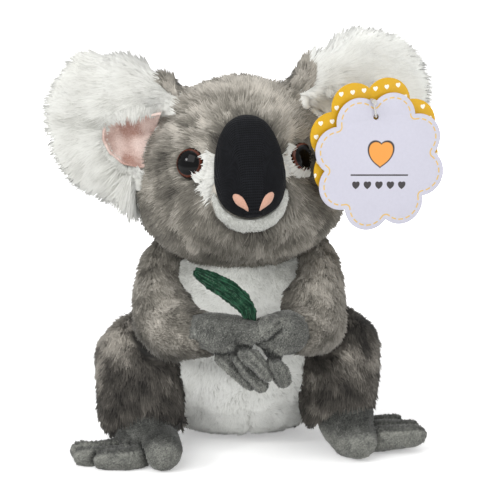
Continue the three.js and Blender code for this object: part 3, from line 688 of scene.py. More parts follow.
def dress(piece, material, slot, *replaced, body=toyBody, fill=None):
    piece.data.materials.clear()
    piece.data.materials.append(material)
    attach(piece, body)
    if replaced:
        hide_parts(*replaced)
    return piece


def dressAll(coats, material, slot):
    for coat in coats:
        dress(coat, material, slot)


# a comb that runs along a limb's own line
def alongRoute(route):
    line = np.array(route)[:, :3] * mm
    middles = (line[1:] + line[:-1]) / 2
    ways = unit(line[1:] - line[:-1])

    def comb(points, outward):
        gap = np.linalg.norm(points[:, None] - middles[None], axis=2)
        share = 1 / (gap**3 + 1e-9)
        return (share[:, :, None] * ways[None]).sum(1) / share.sum(1)[:, None]

    return comb


# sizes of the patches and how strong each size is
patchSizes = ((0.011, 0.7), (0.005, 0.8), (0.0022, 0.5))


# a middle tone with patches, and spots of (x, z, half width, half height, change) on the front
def mottled(middle, patches, spots=(), spread=0.07, seed=3):
    def tone(points, rng):
        noise = 0
        for step, (size, share) in enumerate(patchSizes):
            noise = noise + (softNoise(points, size, seed + step) - 0.5) * share
        value = middle + patches * noise
        front = np.clip(-points[:, 1] / 0.01, 0, 1)
        for x, z, wide, high, change in spots:
            gap = ((points[:, 0] / mm - x) / wide) ** 2 + ((points[:, 2] / mm - z) / high) ** 2
            value = value + change * np.exp(-gap) * front
        return value + rng.normal(size=len(points)) * spread

    return tone


def paintTone(piece, tone):
    putAttribute(piece, "tone", np.clip(tone(pointsOf(piece), np.random.default_rng(5)), 0, 1))


# Piles of the real fabrics

piles = {
    "grey": {
        "dark": (66, 63, 59),
        "middle": (131, 127, 118),
        "light": (206, 200, 190),
        "mottle": 0.4,
        "frost": 0.3,
        "rootShade": 0.25,
        "sheen": 0.1,
    },
    "dark": {
        "dark": (48, 46, 44),
        "middle": (100, 96, 90),
        "light": (184, 178, 168),
        "mottle": 0.4,
        "frost": 0.3,
        "rootShade": 0.25,
        "sheen": 0.1,
    },
    "white": {
        "dark": (180, 180, 173),
        "middle": (230, 230, 225),
        "light": (246, 247, 243),
        "mottle": 0.35,
        "frost": 0.3,
        "rootShade": 0.12,
        "sheen": 0.1,
    },
    "fleece": {
        "dark": (196, 197, 190),
        "middle": (234, 235, 230),
        "light": (246, 247, 243),
        "mottle": 0.3,
        "frost": 0.3,
        "rootShade": 0.14,
        "sheen": 0.1,
    },
    "nap": {
        "dark": (54, 55, 53),
        "middle": (106, 107, 103),
        "light": (168, 169, 161),
        "mottle": 0.35,
        "frost": 0.4,
        "rootShade": 0.5,
        "sheen": 0.25,
    },
}
coatOf = {name: pileMaterial(name + "Pile", look) for name, look in piles.items()}
backingOf = {name: pileMaterial(name + "Backing", look, backing=True) for name, look in piles.items()}

longPile = {
    "perSquareMm": 3.2,
    "length": 0.0078,
    "uneven": 0.3,
    "width": 0.0006,
    "root": 0.001,
    "lift": 44,
    "fall": 20,
    "droop": 0.08,
    "stray": 0.13,
    "tuftSize": 0.005,
    "tufting": 0.45,
    "swirl": 0.4,
    "clump": 0.25,
    "clumpOf": 14,
}
shortPile = {
    **longPile,
    "length": 0.0034,
    "root": 0.0006,
    "lift": 46,
    "fall": 22,
    "droop": 0.02,
    "stray": 0.3,
    "tuftSize": 0.006,
    "tufting": 0.6,
    "clump": 0.1,
}

# Body

bodyLook = {
    "voxel": 0.0035,
    "smooth": 6,
    "slack": 0.001,
    "pressure": 4,
    "limit": 0.003,
    "depth": 0.0032,
    "rounds": 1,
}
belly = {
    "halfTurn": 82.0,
    "chestTurn": 66.0,
    "narrows": (50, 68),
    "low": 0.0008,
    "seamX": 4.5,
    "seamTop": 26.0,
    "seamDepth": 0.0007,
    "seamWidth": 1.6,
    # painted shade along the seam, and painted shadow of the head on the chest
    "seamShade": 0.25,
    "seamShadeWidth": 0.9,
    "chestShade": 0.45,
    "chestShadeFrom": 78,
    "dimples": ((0.012, 29, 0.0018), (0.005, 30, 0.0009)),
    "lift": 0.0004,
    "cloth": 0.0009,
    "chestAbove": 0.08,
    "chestHalf": 0.038,
    "hipsBelow": 0.06,
}
bodyPile = {**longPile, "perSquareMm": 2.2}
bellyPile = {**shortPile, "length": 0.0036, "tufting": 0.9, "stray": 0.2, "tuftSize": 0.004, "clump": 0.35}


def inBelly(points, grow=0.0):
    turn = np.degrees(np.arctan2(np.abs(points[:, 0]), -points[:, 1]))
    edge = np.interp(points[:, 2] / mm, belly["narrows"], (belly["halfTurn"], belly["chestTurn"]))
    return (turn < edge + grow) & (points[:, 2] > belly["low"])


# the gap from the seam up the middle of the belly, and whether the seam runs at that height
def bellySeam(points):
    return np.abs(points[:, 0] / mm - belly["seamX"]), points[:, 2] / mm < belly["seamTop"]


def combDown(points, outward):
    return np.tile(np.array([0.0, 0.1, -1.0]), (len(points), 1))


def combBelly(points, outward):
    part = np.clip(points[:, 0] / mm - belly["seamX"], -12, 12) / 12
    return np.stack([part * 0.5, np.zeros(len(points)), -np.ones(len(points))], axis=1)


def bellyReach(points):
    gap, low = bellySeam(points)
    return np.where(low, np.clip(0.35 + gap / 3.0, 0, 1), 1.0)


# mottled tone, with painted shadow of the head over the chest and painted shade along the belly seam
def bellyToneAndShade(points, rng):
    base = mottled(0.68, 0.28, seed=23, spread=0.12)(points, rng)
    base = base - belly["chestShade"] * np.clip((points[:, 2] / mm - belly["chestShadeFrom"]) / 14, 0, 1)
    gap, low = bellySeam(points)
    return base - np.where(low, belly["seamShade"] * np.exp(-((gap / belly["seamShadeWidth"]) ** 2)), 0)


besideBody = ["head_skin"] + ["arm_skin_" + s for s in sides] + ["leg_skin_" + s for s in sides]
torso = stuffed("bodyPad", ["torso_skin", "belly_panel", "torso_stuffing"], bodyLook, besideBody)
bodyTone = mottled(0.42, 0.5, seed=21)
paintTone(torso, bodyTone)
bellyPiece = copyOf("bellyFleece", torso)
cutOut(bellyPiece, inBelly(faceValues(bellyPiece, "center"), 1.0))
bellyPoints = pointsOf(bellyPiece)
seamGap, low = bellySeam(bellyPoints)
dent = np.where(low, belly["seamDepth"] * np.exp(-((seamGap / belly["seamWidth"]) ** 2)), 0)
dimple = sum((softNoise(bellyPoints, size, seed) - 0.5) * deep for size, seed, deep in belly["dimples"])
setPoints(bellyPiece, bellyPoints + normalsOf(bellyPiece) * (belly["lift"] + dimple - dent)[:, None])
finishWith(bellyPiece, "SOLIDIFY", thickness=belly["cloth"], offset=1.0)

openBody = openTo(*besideBody)
openHips = openTo("head_skin", "leg_skin_left", "leg_skin_right", reach=0.0035)


def openChest(points, outward):
    inner = (points[:, 2] > belly["chestAbove"]) & (np.abs(points[:, 0]) < belly["chestHalf"])
    low = points[:, 2] < belly["hipsBelow"]
    return np.where(inner | low, openHips(points, outward), openBody(points, outward))


# shorter along the seam down the middle of the back
def backReach(points):
    return np.where(points[:, 1] > 0, np.clip(0.45 + np.abs(points[:, 0]) / 0.005, 0, 1), 1.0)


torsoCoats = pileOn(
    "bodyCoat",
    torso,
    bodyPile,
    combDown,
    bodyTone,
    None,
    lambda p, n: ~inBelly(p, -1.0) & (p[:, 2] > 0.002) & openBody(p, n),
    backReach,
    21,
)
bellyCoats = pileOn(
    "bellyCoat",
    bellyPiece,
    bellyPile,
    combBelly,
    bellyToneAndShade,
    None,
    lambda p, n: (np.sum(n[:, :2] * p[:, :2], axis=1) > -0.01) & (p[:, 2] > 0.0012) & openChest(p, n),
    bellyReach,
    22,
)
dress(torso, backingOf["grey"], "grey_plush", "torso_skin", "torso_stuffing", fill=0.8)
dress(bellyPiece, backingOf["fleece"], "pale_plush", "belly_panel")
dressAll(torsoCoats, coatOf["grey"], "grey_plush")
dressAll(bellyCoats, coatOf["fleece"], "pale_plush")
stageDone("body and belly")

# Head

noseMiddle = np.array([5.0, -59.2, 159.2]) * mm
eyeSeats = {"left": (-25.0, -50.0, 158.6), "right": (32.3, -44.0, 160.6)}
eyeAims = {"left": (-0.4324, -0.8604, 0.2697), "right": (0.5819, -0.7538, 0.3053)}
# tone spots on the face, with painted shade beside the eyes and under the chin
headToneAndShade = [
    (-36, 156, 6, 10, -0.35),
    (-30, 145, 6, 5, -0.3),
    (-16, 166, 5, 9, 0.22),
    (-28, 172, 5, 3, 0.45),
    (0, 189, 20, 6, 0.12),
    (22, 184, 12, 8, 0.2),
    (-24, 180, 14, 8, 0.12),
    (22, 168, 4, 9, 0.25),
    (38, 150, 6, 14, -0.25),
    (40, 170, 6, 8, 0.12),
    (3, 117, 16, 5, 0.28),
    (-25, 128, 14, 8, 0.05),
    (0, 104, 40, 4, -0.15),
    (-45, 130, 10, 14, -0.05),
]
eyePatches = [
    (-13.5, 155.0, 3.6, 10.0),
    (-13.8, 148.5, 3.8, 5.5),
    (-12.3, 142.5, 3.0, 4.0),
    (22.2, 159.0, 2.2, 6.0),
    (27.0, 154.0, 3.5, 1.5),
]
headLook = {**bodyLook, "voxel": 0.003, "smooth": 4, "pressure": 0}
patchPile = {**longPile, "perSquareMm": 4.5, "length": 0.0062, "width": 0.00055}
frontOfFace = -0.02
noseShade = {"reach": 0.0045, "share": 0.35, "above": 0.15}
# painted light towards the top of the head
topPaintedLight = {"share": 0.1, "from": 0.163, "span": 0.02}
eyeClearing = {"reach": 0.014, "least": 0.75}


def combHead(points, outward):
    away = unit(points - noseMiddle)
    back = np.clip((points[:, 1] + 0.02) / 0.03, 0, 1)[:, None]
    return away * (1 - back) + np.array([0.0, 0.35, -1.0]) * back


def inPatch(points, blur=0.0):
    x, z = points[:, 0] / mm, points[:, 2] / mm
    best = np.full(len(points), 9.0)
    for px, pz, wide, high in eyePatches:
        best = np.minimum(best, ((x - px) / wide) ** 2 + ((z - pz) / high) ** 2)
    rim = np.random.default_rng(8).normal(size=len(points)) * blur
    return (best + rim < 1) & (points[:, 1] < frontOfFace)


noseTree = treeFrom("nose")
mainHeadTone = mottled(0.45, 0.6, headToneAndShade, seed=31)


def headTone(points, rng):
    # painted light: the head grows lighter towards its top
    brow = np.clip((points[:, 2] - topPaintedLight["from"]) / topPaintedLight["span"], 0, 1)
    value = mainHeadTone(points, rng) + topPaintedLight["share"] * brow
    near = np.clip(1 - gapsTo(noseTree, points) / noseShade["reach"], 0, 1)
    value = value - noseShade["share"] * near * (points[:, 2] > noseShade["above"])
    return np.where(inPatch(points), 0.95, value)


def faceReach(points):
    near = np.ones(len(points))
    for seat in eyeSeats.values():
        gap = np.linalg.norm(points - np.array(seat) * mm, axis=1)
        near = np.minimum(near, np.clip(gap / eyeClearing["reach"], eyeClearing["least"], 1))
    return np.minimum(near, headSeams(points))


headSeams = shortNear("torso_skin", "belly_panel")
head = stuffed(
    "headPad",
    ["head_skin", "head_stuffing", "eye_patch_left", "eye_patch_right", "nose", "muzzle_panel"],
    headLook,
    ["torso_skin", "belly_panel", *["ear_back_" + s for s in sides]],
)
paintTone(head, headTone)
openFace = openTo(
    "nose",
    "muzzle_panel",
    "torso_skin",
    "torso_stuffing",
    "belly_panel",
    *["eye_" + s for s in sides],
)
openTemples = openTo(*["ear_pile_" + s for s in sides], *["ear_back_" + s for s in sides], reach=0.003)
headCoats = pileOn(
    "headCoat",
    head,
    longPile,
    combHead,
    headTone,
    lambda c: np.where(c[:, 1] < 0.005, 1.0, 0.7),
    lambda p, n: openFace(p, n) & openTemples(p, n) & ~inPatch(p, 0.15),
    faceReach,
    11,
)
patchCoats = pileOn(
    "eyePatchCoat",
    head,
    patchPile,
    combHead,
    mottled(0.5, 0.3, seed=33),
    lambda c: ((c[:, 1] < frontOfFace) & (c[:, 2] < 0.18) & (c[:, 2] > 0.12)).astype(float),
    lambda p, n: openFace(p, n) & inPatch(p, 0.15),
    None,
    13,
)
# pile round each eye that leans in over its rim: side, (from, to) in degrees, length, pale or not
eyeLids = [
    ("left", (-68, 35), 0.0082, True),
    ("left", (35, 75), 0.0058, False),
    ("right", (125, 285), 0.0074, True),
    ("right", (-75, 60), 0.0104, False),
    ("right", (60, 135), 0.0056, False),
]
lidPile = {
    **longPile,
    "perSquareMm": 8.0,
    "width": 0.0007,
    "lift": 70,
    "fall": 38,
    "swirl": 0.1,
    "tufting": 0.2,
    "stray": 0.08,
    "uneven": 0.18,
    "clump": 0.4,
    "clumpOf": 9,
}
lidRing = (0.008, 0.0112)
lidDim = {"left": 0.05, "right": -0.15}
paleLids = []
for place, (side, arc, reach, pale) in enumerate(eyeLids):
    aim = np.array(eyeAims[side])
    seat = np.array(eyeSeats[side]) * mm
    level = unit(np.cross(aim, (0, 0, 1.0)))
    level = level if level[0] > 0 else -level
    upright = unit(np.cross(level, aim))
    upright = upright if upright[2] > 0 else -upright

    def aroundEye(points, seat=seat, aim=aim, level=level, upright=upright):
        off = points - seat
        off = off - aim * (off @ aim)[:, None]
        return np.linalg.norm(off, axis=1), np.degrees(np.arctan2(off @ upright, off @ level))

    def keepLid(roots, outward, arc=arc, aroundEye=aroundEye):
        gap, turn = aroundEye(roots)
        inside = ((turn - arc[0]) % 360) < (arc[1] - arc[0])
        return (gap > lidRing[0]) & (gap < lidRing[1]) & inside & (roots[:, 1] < frontOfFace)

    def combLid(points, outward, seat=seat):
        return seat - points

    def toneLid(points, rng, pale=pale, dim=lidDim[side]):
        return 0.55 + rng.normal(size=len(points)) * 0.1 if pale else headTone(points, rng) + dim

    lid = pileOn(
        "eyeLid" + side.title() + "ABCDE"[place],
        head,
        {**lidPile, "length": reach, "facing": eyeAims[side]},
        combLid,
        toneLid,
        lambda c: ((c[:, 1] < frontOfFace) & (c[:, 2] < 0.185) & (c[:, 2] > 0.13)).astype(float),
        keepLid,
        None,
        15 + place,
    )
    if pale:
        paleLids += lid
    else:
        headCoats += lid
dress(head, backingOf["grey"], "grey_plush", "head_skin", "head_stuffing", fill=0.9)
dressAll(headCoats, coatOf["grey"], "grey_plush")
for coat in patchCoats + paleLids:
    dress(coat, coatOf["white"], "pale_plush", "eye_patch_left", "eye_patch_right")
stageDone("head")

# Arms and legs

limbLook = {"voxel": 0.0028, "smooth": 5, "slack": 0.001, "pressure": 4, "limit": 0.0025, "depth": 0.0028}
routes = {
    "armLeft": [(-42, -7, 100.3), (-42.5, -21, 87.8), (-41, -39, 72.4), (-31, -54.5, 69), (-16.5, -60, 70.5)],
    "armRight": [(42, -7, 101.5), (41.5, -21, 90.1), (40.5, -39, 75.8), (40, -52.5, 70.1), (28.5, -60, 71.5)],
    "legLeft": [(-36, 15, 30.8), (-49, -6, 45.6), (-54.5, -28, 49), (-53, -40, 34.2), (-51, -44, 22.8)],
    "legRight": [(36, 15, 31.9), (48, -5, 49), (53.5, -23, 53), (53.5, -34, 38.8), (52.5, -38, 27.4)],
}
limbSwells = {
    "armLeft": [((-27, -28, 99), 12, (-6, 2, 0)), ((-26, -40, 86), 11, (4, -2, 2))],
    "armRight": [
        ((27, -28, 99), 12, (3, 2, 0)),
        ((29, -40, 88), 12, (-4, -2, 1)),
        ((24, -48, 78), 7, (-3, 0, 0)),
    ],
    "legLeft": [((-38, -44, 22), 13, (4, -3, -10)), ((-66, -40, 26), 11, (-2, 0, -7))],
    "legRight": [((42, -40, 24), 13, (-3, -4, -13))],
}
# tone spots on the limbs, with painted shade on the arms' inner sides beside the chest
limbToneAndShade = {
    "armLeft": [(-24, 88, 7, 12, -0.35), (-40, 82, 9, 9, 0.12), (-24, 62, 8, 5, -0.1)],
    "armRight": [(26, 90, 7, 12, -0.3), (40, 93, 12, 13, 0.18), (52, 75, 6, 12, 0.1)],
    "legLeft": [(-63, 60, 9, 8, 0.7), (-74, 50, 4, 12, 0.35), (-50, 40, 13, 18, -0.3), (-70, 25, 5, 8, 0.15)],
    "legRight": [(54, 55, 8, 6, 0.2), (72, 52, 5, 12, 0.4), (50, 38, 9, 12, -0.12), (62, 62, 10, 5, -0.1)],
}
# how much longer the pile hangs at a cuff: (x, y, z, reach, extra)
cuffs = {
    "left": [
        (-36, -50, 22, 13, 0.15),
        (-30, -44, 17, 8, -0.4),
        (-68, -44, 24, 13, 0.3),
        (-52, -55, 26, 16, 0.15),
    ],
    "right": [(43, -43, 12, 10, -0.55), (70, -32, 30, 12, 0.1), (54, -48, 30, 14, 0.2)],
}
armPile = {**longPile, "length": 0.0068}
legPile = {**longPile, "length": 0.0064, "clump": 0.15}
legTones = {"left": 0.36, "right": 0.27}
bodyFront = ["torso_skin", "belly_panel"]
handSkins = ["hand_skin_" + s for s in sides]


def cuffReach(points, spots):
    extra = np.zeros(len(points))
    for x, y, z, wide, more in spots:
        far = np.linalg.norm(points / mm - np.array([x, y, z]), axis=1) / wide
        extra = extra + more * np.exp(-(far**2))
    return 1 + extra


for side, seed in (("left", 41), ("right", 51)):
    title = side.title()
    arm = stuffed(
        "armPad" + title,
        ["arm_skin_" + side, "arm_stuffing_" + side],
        limbLook,
        [*bodyFront, "head_skin", "hand_skin_" + side],
        limbSwells["arm" + title],
    )
    armTone = mottled(0.48, 0.55, limbToneAndShade["arm" + title], seed=seed)
    paintTone(arm, armTone)
    openArm = openTo(*bodyFront, "head_skin", *handSkins, reach=0.005)
    coats = pileOn(
        "armCoat" + title,
        arm,
        armPile,
        alongRoute(routes["arm" + title]),
        armTone,
        None,
        openArm,
        shortNear(*bodyFront, "head_skin", *handSkins),
        seed,
    )
    dress(arm, backingOf["grey"], "grey_plush", "arm_skin_" + side, "arm_stuffing_" + side, fill=0.7)
    dressAll(coats, coatOf["grey"], "grey_plush")
    leg = stuffed(
        "legPad" + title,
        ["leg_skin_" + side, "leg_stuffing_" + side],
        limbLook,
        [*bodyFront, "foot_skin_" + side],
        limbSwells["leg" + title],
    )
    legTone = mottled(legTones[side], 0.7, limbToneAndShade["leg" + title], seed=seed + 3)
    paintTone(leg, legTone)
    openLeg = openTo(*bodyFront, "foot_skin_" + side, "arm_skin_" + side, reach=0.006)
    coats = pileOn(
        "legCoat" + title,
        leg,
        legPile,
        alongRoute(routes["leg" + title]),
        legTone,
        None,
        openLeg,
        lambda p, cuff=cuffs[side], near=shortNear(*bodyFront): near(p) * cuffReach(p, cuff),
        seed + 3,
    )
    dress(leg, backingOf["dark"], "dark_plush", "leg_skin_" + side, "leg_stuffing_" + side, fill=0.7)
    dressAll(coats, coatOf["dark"], "dark_plush")
stageDone("arms and legs")

# Ears: long white pile in front and round the rim, grey behind and in the tuft at the head

earLook = {"voxel": 0.0025, "smooth": 4, "depth": 0.0058}
earFrames = {
    "left": ((985.3, -69.7, 155.9), (69.7, 997.6, 6.1), (-155.9, 4.9, 987.8), (-66.7, -20.2, 175.2)),
    "right": ((957.7, 274, -87.7), (-275.5, 961.3, -6.1), (82.6, 30, 996.1), (65.6, -6.3, 185.5)),
}
# the bowl runs on under the edge of the head
earSwells = {
    "left": [
        ((-42, -27, 181), 6, (0, 5, 0)),
        ((-50, -27, 169), 6, (0, 5, 0)),
        ((-52, -27, 157), 6, (0, 5, 0)),
    ],
    "right": [],
}
earTufts = {"left": (-33.0, 198.0, 7.5, 8.5), "right": (32.0, 199.0, 7.5, 8.5)}
earPile = {
    **longPile,
    "perSquareMm": 4.4,
    "length": 0.0108,
    "width": 0.0005,
    "lift": 48,
    "fall": 28,
    "droop": 0.1,
    "stray": 0.18,
    "tuftSize": 0.006,
    "tufting": 0.5,
    "swirl": 0.3,
    "clump": 0.24,
    "clumpOf": 22,
}
lipPile = {
    **earPile,
    "perSquareMm": 6.0,
    "length": 0.007,
    "width": 0.0006,
    "lift": 66,
    "fall": 30,
    "clump": 0.35,
}
backPile = {**longPile, "perSquareMm": 2.6, "length": 0.0055, "lift": 34, "fall": 12}
tuftPile = {
    **longPile,
    "perSquareMm": 5.0,
    "length": 0.0078,
    "lift": 42,
    "fall": 24,
    "clump": 0.4,
    "droop": 0.2,
}
earTones = {"left": 0.46, "right": 0.75}
# painted shade in the ears' hollows and beside the left lining
earHollowShade = {
    "left": [(-78, 177, 14, 5, -0.35), (-63, 160, 8, 14, -0.2)],
    "right": [(53, 200, 13, 6, -0.4), (48, 190, 10, 6, -0.2)],
}
liningSunk = {"left": 0.0034, "right": 0.007}
liningWider = {"left": (-0.0455, 1.12), "right": (0.0, 1.0)}
lowestPile = {"turn": 300, "fade": 30, "full": 25}
headEdge = {"x": 36, "low": 172, "high": 190}
earGaps = {"hub": 0.046, "white": 0.003, "grey": 0.009, "lining": 0.0065}
earDepths = {"grey": 0.002, "lip": 0.004}
earFacing = {"white": 0.5, "lip": 0.3, "grey": 0.3, "cloth": 0.4, "tuftCloth": -0.3}
earCloth = {"lift": 0.0003, "thick": 0.0008}
# how full the pile stands at each turn round the ear, in degrees from the right, counterclockwise
earFullness = {
    "left": ((0, 40, 60, 85, 103, 125, 145, 160, 180, 220, 250, 270, 285, 297, 315, 360),
             (0.6, 0.7, 1.05, 0.62, 1.2, 0.8, 0.72, 0.85, 0.9, 0.82, 0.88, 0.95, 1.5, 1.75, 1.3, 0.6)),
    "right": ((0, 45, 70, 90, 110, 135, 180, 360), (0.95, 0.9, 0.82, 0.8, 0.95, 0.9, 0.85, 0.95)),
}
liningCut = {"left": ((-43.5, 176.0), (-51.0, 150.0)), "right": ((46.0, 190.0), (52.0, 165.0))}
# painted shade in the satin's folds and painted light on its crests
satin = {"fold": (170, 128, 114), "crestLight": (236, 214, 205)}


def satinMaterial():
    material, tree, shader = newMaterial("pinkSatin", 0.42, 0.3, 0.4)
    place = objectPlace(tree)
    folds = noiseAt(tree, place, 75, 1.0)
    crease = noiseAt(tree, place, 420, 3.0, 0.6)
    weave = noiseAt(tree, place, 1500, 2.0, 0.7)
    height = sums(tree, "ADD", sums(tree, "MULTIPLY", crease, 0.6), sums(tree, "MULTIPLY", weave, 0.4))
    low = sums(tree, "MULTIPLY", height, 0.4)
    share = sums(tree, "MULTIPLY_ADD", smoothStep(tree, folds, 0.35, 0.65), 0.8, low)
    share = sums(tree, "SUBTRACT", share, 0.1, clamp=True)
    speck = sums(tree, "MULTIPLY_ADD", sums(tree, "SUBTRACT", weave, 0.5), 1.1, share, clamp=True)
    # painted shade in the folds, painted light on the crests
    colour = blend(tree, speck, rgb(*satin["fold"]), rgb(*satin["crestLight"]))
    tree.links.new(colour, shader.inputs["Base Color"])
    bumpFrom(tree, shader, height, 0.9, 0.0008)
    return material


pinkSatin = satinMaterial()
headTree = treeFrom("head_skin")
for side, seed in (("left", 61), ("right", 71)):
    title = side.title()
    across, deep, rise, place = (np.array(v) for v in earFrames[side])
    across, deep, rise, place = across * mm, deep * mm, rise * mm, place * mm
    sign = -1 if side == "left" else 1
    hub = place - across * sign * earGaps["hub"]
    ear = stuffed(
        "earPad" + title,
        ["ear_pile_" + side, "ear_back_" + side, "ear_lining_" + side],
        earLook,
        ["head_skin"],
    )
    fillOut(ear, earSwells[side])
    earTone = mottled(earTones[side], 0.4, earHollowShade[side], seed=seed)
    paintTone(ear, earTone)
    lining = stuffed("earLining" + title, ["ear_lining_" + side], {"voxel": 0.0007, "smooth": 6})
    (topX, topZ), (lowX, lowZ) = liningCut[side]
    normal = Vector(((topZ - lowZ) * -sign, 0, (lowX - topX) * -sign))
    pickOnly(lining)
    bpy.ops.object.mode_set(mode="EDIT")
    bpy.ops.mesh.select_all(action="SELECT")
    bpy.ops.mesh.bisect(
        plane_co=Vector((topX, 0, topZ)) * mm, plane_no=normal.normalized(), use_fill=True, clear_outer=True
    )
    bpy.ops.object.mode_set(mode="OBJECT")
    wider = pointsOf(lining)
    edge, share = liningWider[side]
    wider[:, 0] = edge + (wider[:, 0] - edge) * share
    setPoints(lining, wider)
    folds = (softNoise(pointsOf(lining), 0.009, seed + 6) - 0.5) * 0.003
    setPoints(lining, pointsOf(lining) + deep * (liningSunk[side] + folds)[:, None])
    openEar = openTo("head_skin", reach=0.004)
    openLining = openTo("ear_lining_" + side, reach=0.008)
    liningTree = treeFrom(lining)
    liningMiddle = pointsOf(lining).mean(axis=0)
    tuftX, tuftZ, tuftWide, tuftHigh = earTufts[side]

    def inEar(points, place=place, deep=deep):
        return (points - place) @ deep

    # 1 where the skin faces straight back
    def turnedBack(outward, deep=deep):
        return outward @ deep

    def inTuft(points, x=tuftX, z=tuftZ, wide=tuftWide, high=tuftHigh):
        return ((points[:, 0] / mm - x) / wide) ** 2 + ((points[:, 2] / mm - z) / high) ** 2 < 1

    def aroundEar(points, place=place):
        return np.degrees(np.arctan2(points[:, 2] - place[2], points[:, 0] - place[0])) % 360

    def combEar(points, outward, hub=hub, sign=sign, aroundEar=aroundEar):
        turn = np.abs(aroundEar(points) - lowestPile["turn"])
        low = np.clip(1 - turn / lowestPile["fade"], 0, 1)[:, None] * (sign < 0)
        return unit(points - hub) * (1 - low) + np.array([0.15, 0.0, -1.0]) * low

    def earReach(points, near=shortNear("head_skin", least=0.6, span=0.01), side=side, aroundEar=aroundEar):
        turns, shares = earFullness[side]
        low = np.abs(aroundEar(points) - lowestPile["turn"]) < lowestPile["full"]
        share = np.interp(aroundEar(points), turns, shares)
        return share * np.where(low & (side == "left"), 1.0, near(points))

    def combLip(points, outward, middle=liningMiddle):
        return middle - points

    # beside the lining, and not where the head hides its end
    def nearLining(points, tree=liningTree, topX=topX, topZ=topZ, lowX=lowX, lowZ=lowZ, sign=sign):
        edgeX = lowX + (points[:, 2] / mm - lowZ) / (topZ - lowZ) * (topX - lowX)
        outside = sign * (points[:, 0] / mm - edgeX) > 0
        return outside & (gapsTo(tree, points) < earGaps["lining"])

    # long over the top of the lining, short beside it and under it
    def lipReach(points, middle=liningMiddle):
        way = unit(points - middle)
        return 0.4 + 0.9 * np.clip(way[:, 2], 0, 1) + 0.25 * np.clip(-way[:, 2], 0, 1)

    # the grey head shows beyond the line from the tuft down to the lining's upper corner
    def overHead(points, sign=sign):
        x, z = points[:, 0] / mm, points[:, 2] / mm
        return (sign * (x - sign * headEdge["x"]) < 0) & (z < headEdge["high"]) & (z > headEdge["low"])

    def clearOfHead(points):
        return gapsTo(headTree, points) > earGaps["white"]

    # the back half of the ear beside the head, which is grey
    def greySide(points):
        return (gapsTo(headTree, points) < earGaps["grey"]) & (inEar(points) > earDepths["grey"])

    def combHome(points, outward, hub=hub):
        return hub - points

    def combTuft(points, outward, sign=sign):
        return np.tile(np.array([0.45 * sign, -0.1, 0.8]), (len(points), 1))

    white = pileOn(
        "earPile" + title,
        ear,
        earPile,
        combEar,
        earTone,
        None,
        lambda p, n: (turnedBack(n) < earFacing["white"])
        & ~(inTuft(p) | overHead(p) | greySide(p))
        & clearOfHead(p)
        & (openLining(p, n) | (sign > 0)),
        earReach,
        seed,
    )
    # pile at the edge of the lining, which leans in over it
    white += pileOn(
        "earLip" + title,
        ear,
        lipPile,
        combLip,
        earTone,
        None,
        lambda p, n: (inEar(p) < earDepths["lip"])
        & (turnedBack(n) < earFacing["lip"])
        & openLining(p, n)
        & nearLining(p),
        lipReach,
        seed + 7,
    )
    backTone = mottled(0.46, 0.5, seed=seed + 2)
    backCloth = copyOf("earBack" + title, ear)
    facing = turnedBack(faceValues(backCloth, "normal"))
    middles = faceValues(backCloth, "center")
    tufted = inTuft(middles) & (facing > earFacing["tuftCloth"])
    cutOut(backCloth, (facing > earFacing["cloth"]) | tufted | greySide(middles))
    setPoints(backCloth, pointsOf(backCloth) + normalsOf(backCloth) * earCloth["lift"])
    finishWith(backCloth, "SOLIDIFY", thickness=earCloth["thick"], offset=1.0)
    grey = pileOn(
        "earBackCoat" + title,
        backCloth,
        backPile,
        combHome,
        backTone,
        None,
        lambda p, n: ((turnedBack(n) > earFacing["grey"]) | greySide(p)) & openEar(p, n),
        None,
        seed + 3,
    )
    tuft = pileOn(
        "earTuft" + title,
        ear,
        tuftPile,
        combTuft,
        mottled(0.66, 0.6, seed=seed + 4),
        None,
        lambda p, n: inTuft(p) & openLining(p, n),
        None,
        seed + 5,
    )
    dress(ear, backingOf["white"], "pale_plush", "ear_pile_" + side, fill=0.5)
    dress(backCloth, backingOf["grey"], "grey_plush", "ear_back_" + side)
    dress(lining, pinkSatin, "pink_satin", "ear_lining_" + side)
    dressAll(white, coatOf["white"], "pale_plush")
    dressAll(grey + tuft, coatOf["grey"], "grey_plush")
stageDone("ears")

# Nose, nostrils and muzzle

headAxes = np.array([(0.9939, 0.1045, 0.0349), (-0.1045, 0.9945, 0.0), (-0.0347, -0.0036, 0.9994)])
noseLook = {
    "voxel": 0.0014,
    "smooth": 8,
    "tilt": -23,
    "wide": 38.0,
    "high": 55.0,
    "fullTop": 0.2,
    "row": 1.3,
    "stitch": 1.1,
    "dark": (15, 16, 18),
    "light": (31, 32, 36),
    # painted shade in the gaps between stitches
    "gap": (4, 4, 5),
}
lean = math.radians(noseLook["tilt"])
noseAxes = np.stack(
    [
        headAxes[0],
        headAxes[1] * math.cos(lean) + headAxes[2] * math.sin(lean),
        headAxes[2] * math.cos(lean) - headAxes[1] * math.sin(lean),
    ]
)
nostrilLook = {
    "side": 0.34,
    "height": -0.78,
    "segments": 40,
    "rings": 14,
    "length": 11.0,
    "width": 4.0,
    "splay": 42,
    "puff": 0.0009,
    "stitch": 0.42,
    "castFrom": (0, -40, 0),
    "nearest": (0, -9, 0),
}


def makeKnitGroup():
    group, enter, leave = newGroup(
        "ribbedKnit",
        [("Row", "Float", 0.0), ("Stitch", "Float", 0.0)],
        [("Height", "Float"), ("GapShade", "Float")],
    )
    put = enter.outputs
    turn = 2 * math.pi
    row = sums(group, "SINE", sums(group, "MULTIPLY", put["Row"], turn))
    column = sums(group, "SINE", sums(group, "MULTIPLY", put["Stitch"], turn))
    height = sums(group, "MULTIPLY_ADD", row, 0.35, sums(group, "MULTIPLY_ADD", column, 0.15, 0.5))
    group.links.new(height, leave.inputs["Height"])
    group.links.new(smoothStep(group, height, 0.45, 0.1), leave.inputs["GapShade"])
    return group


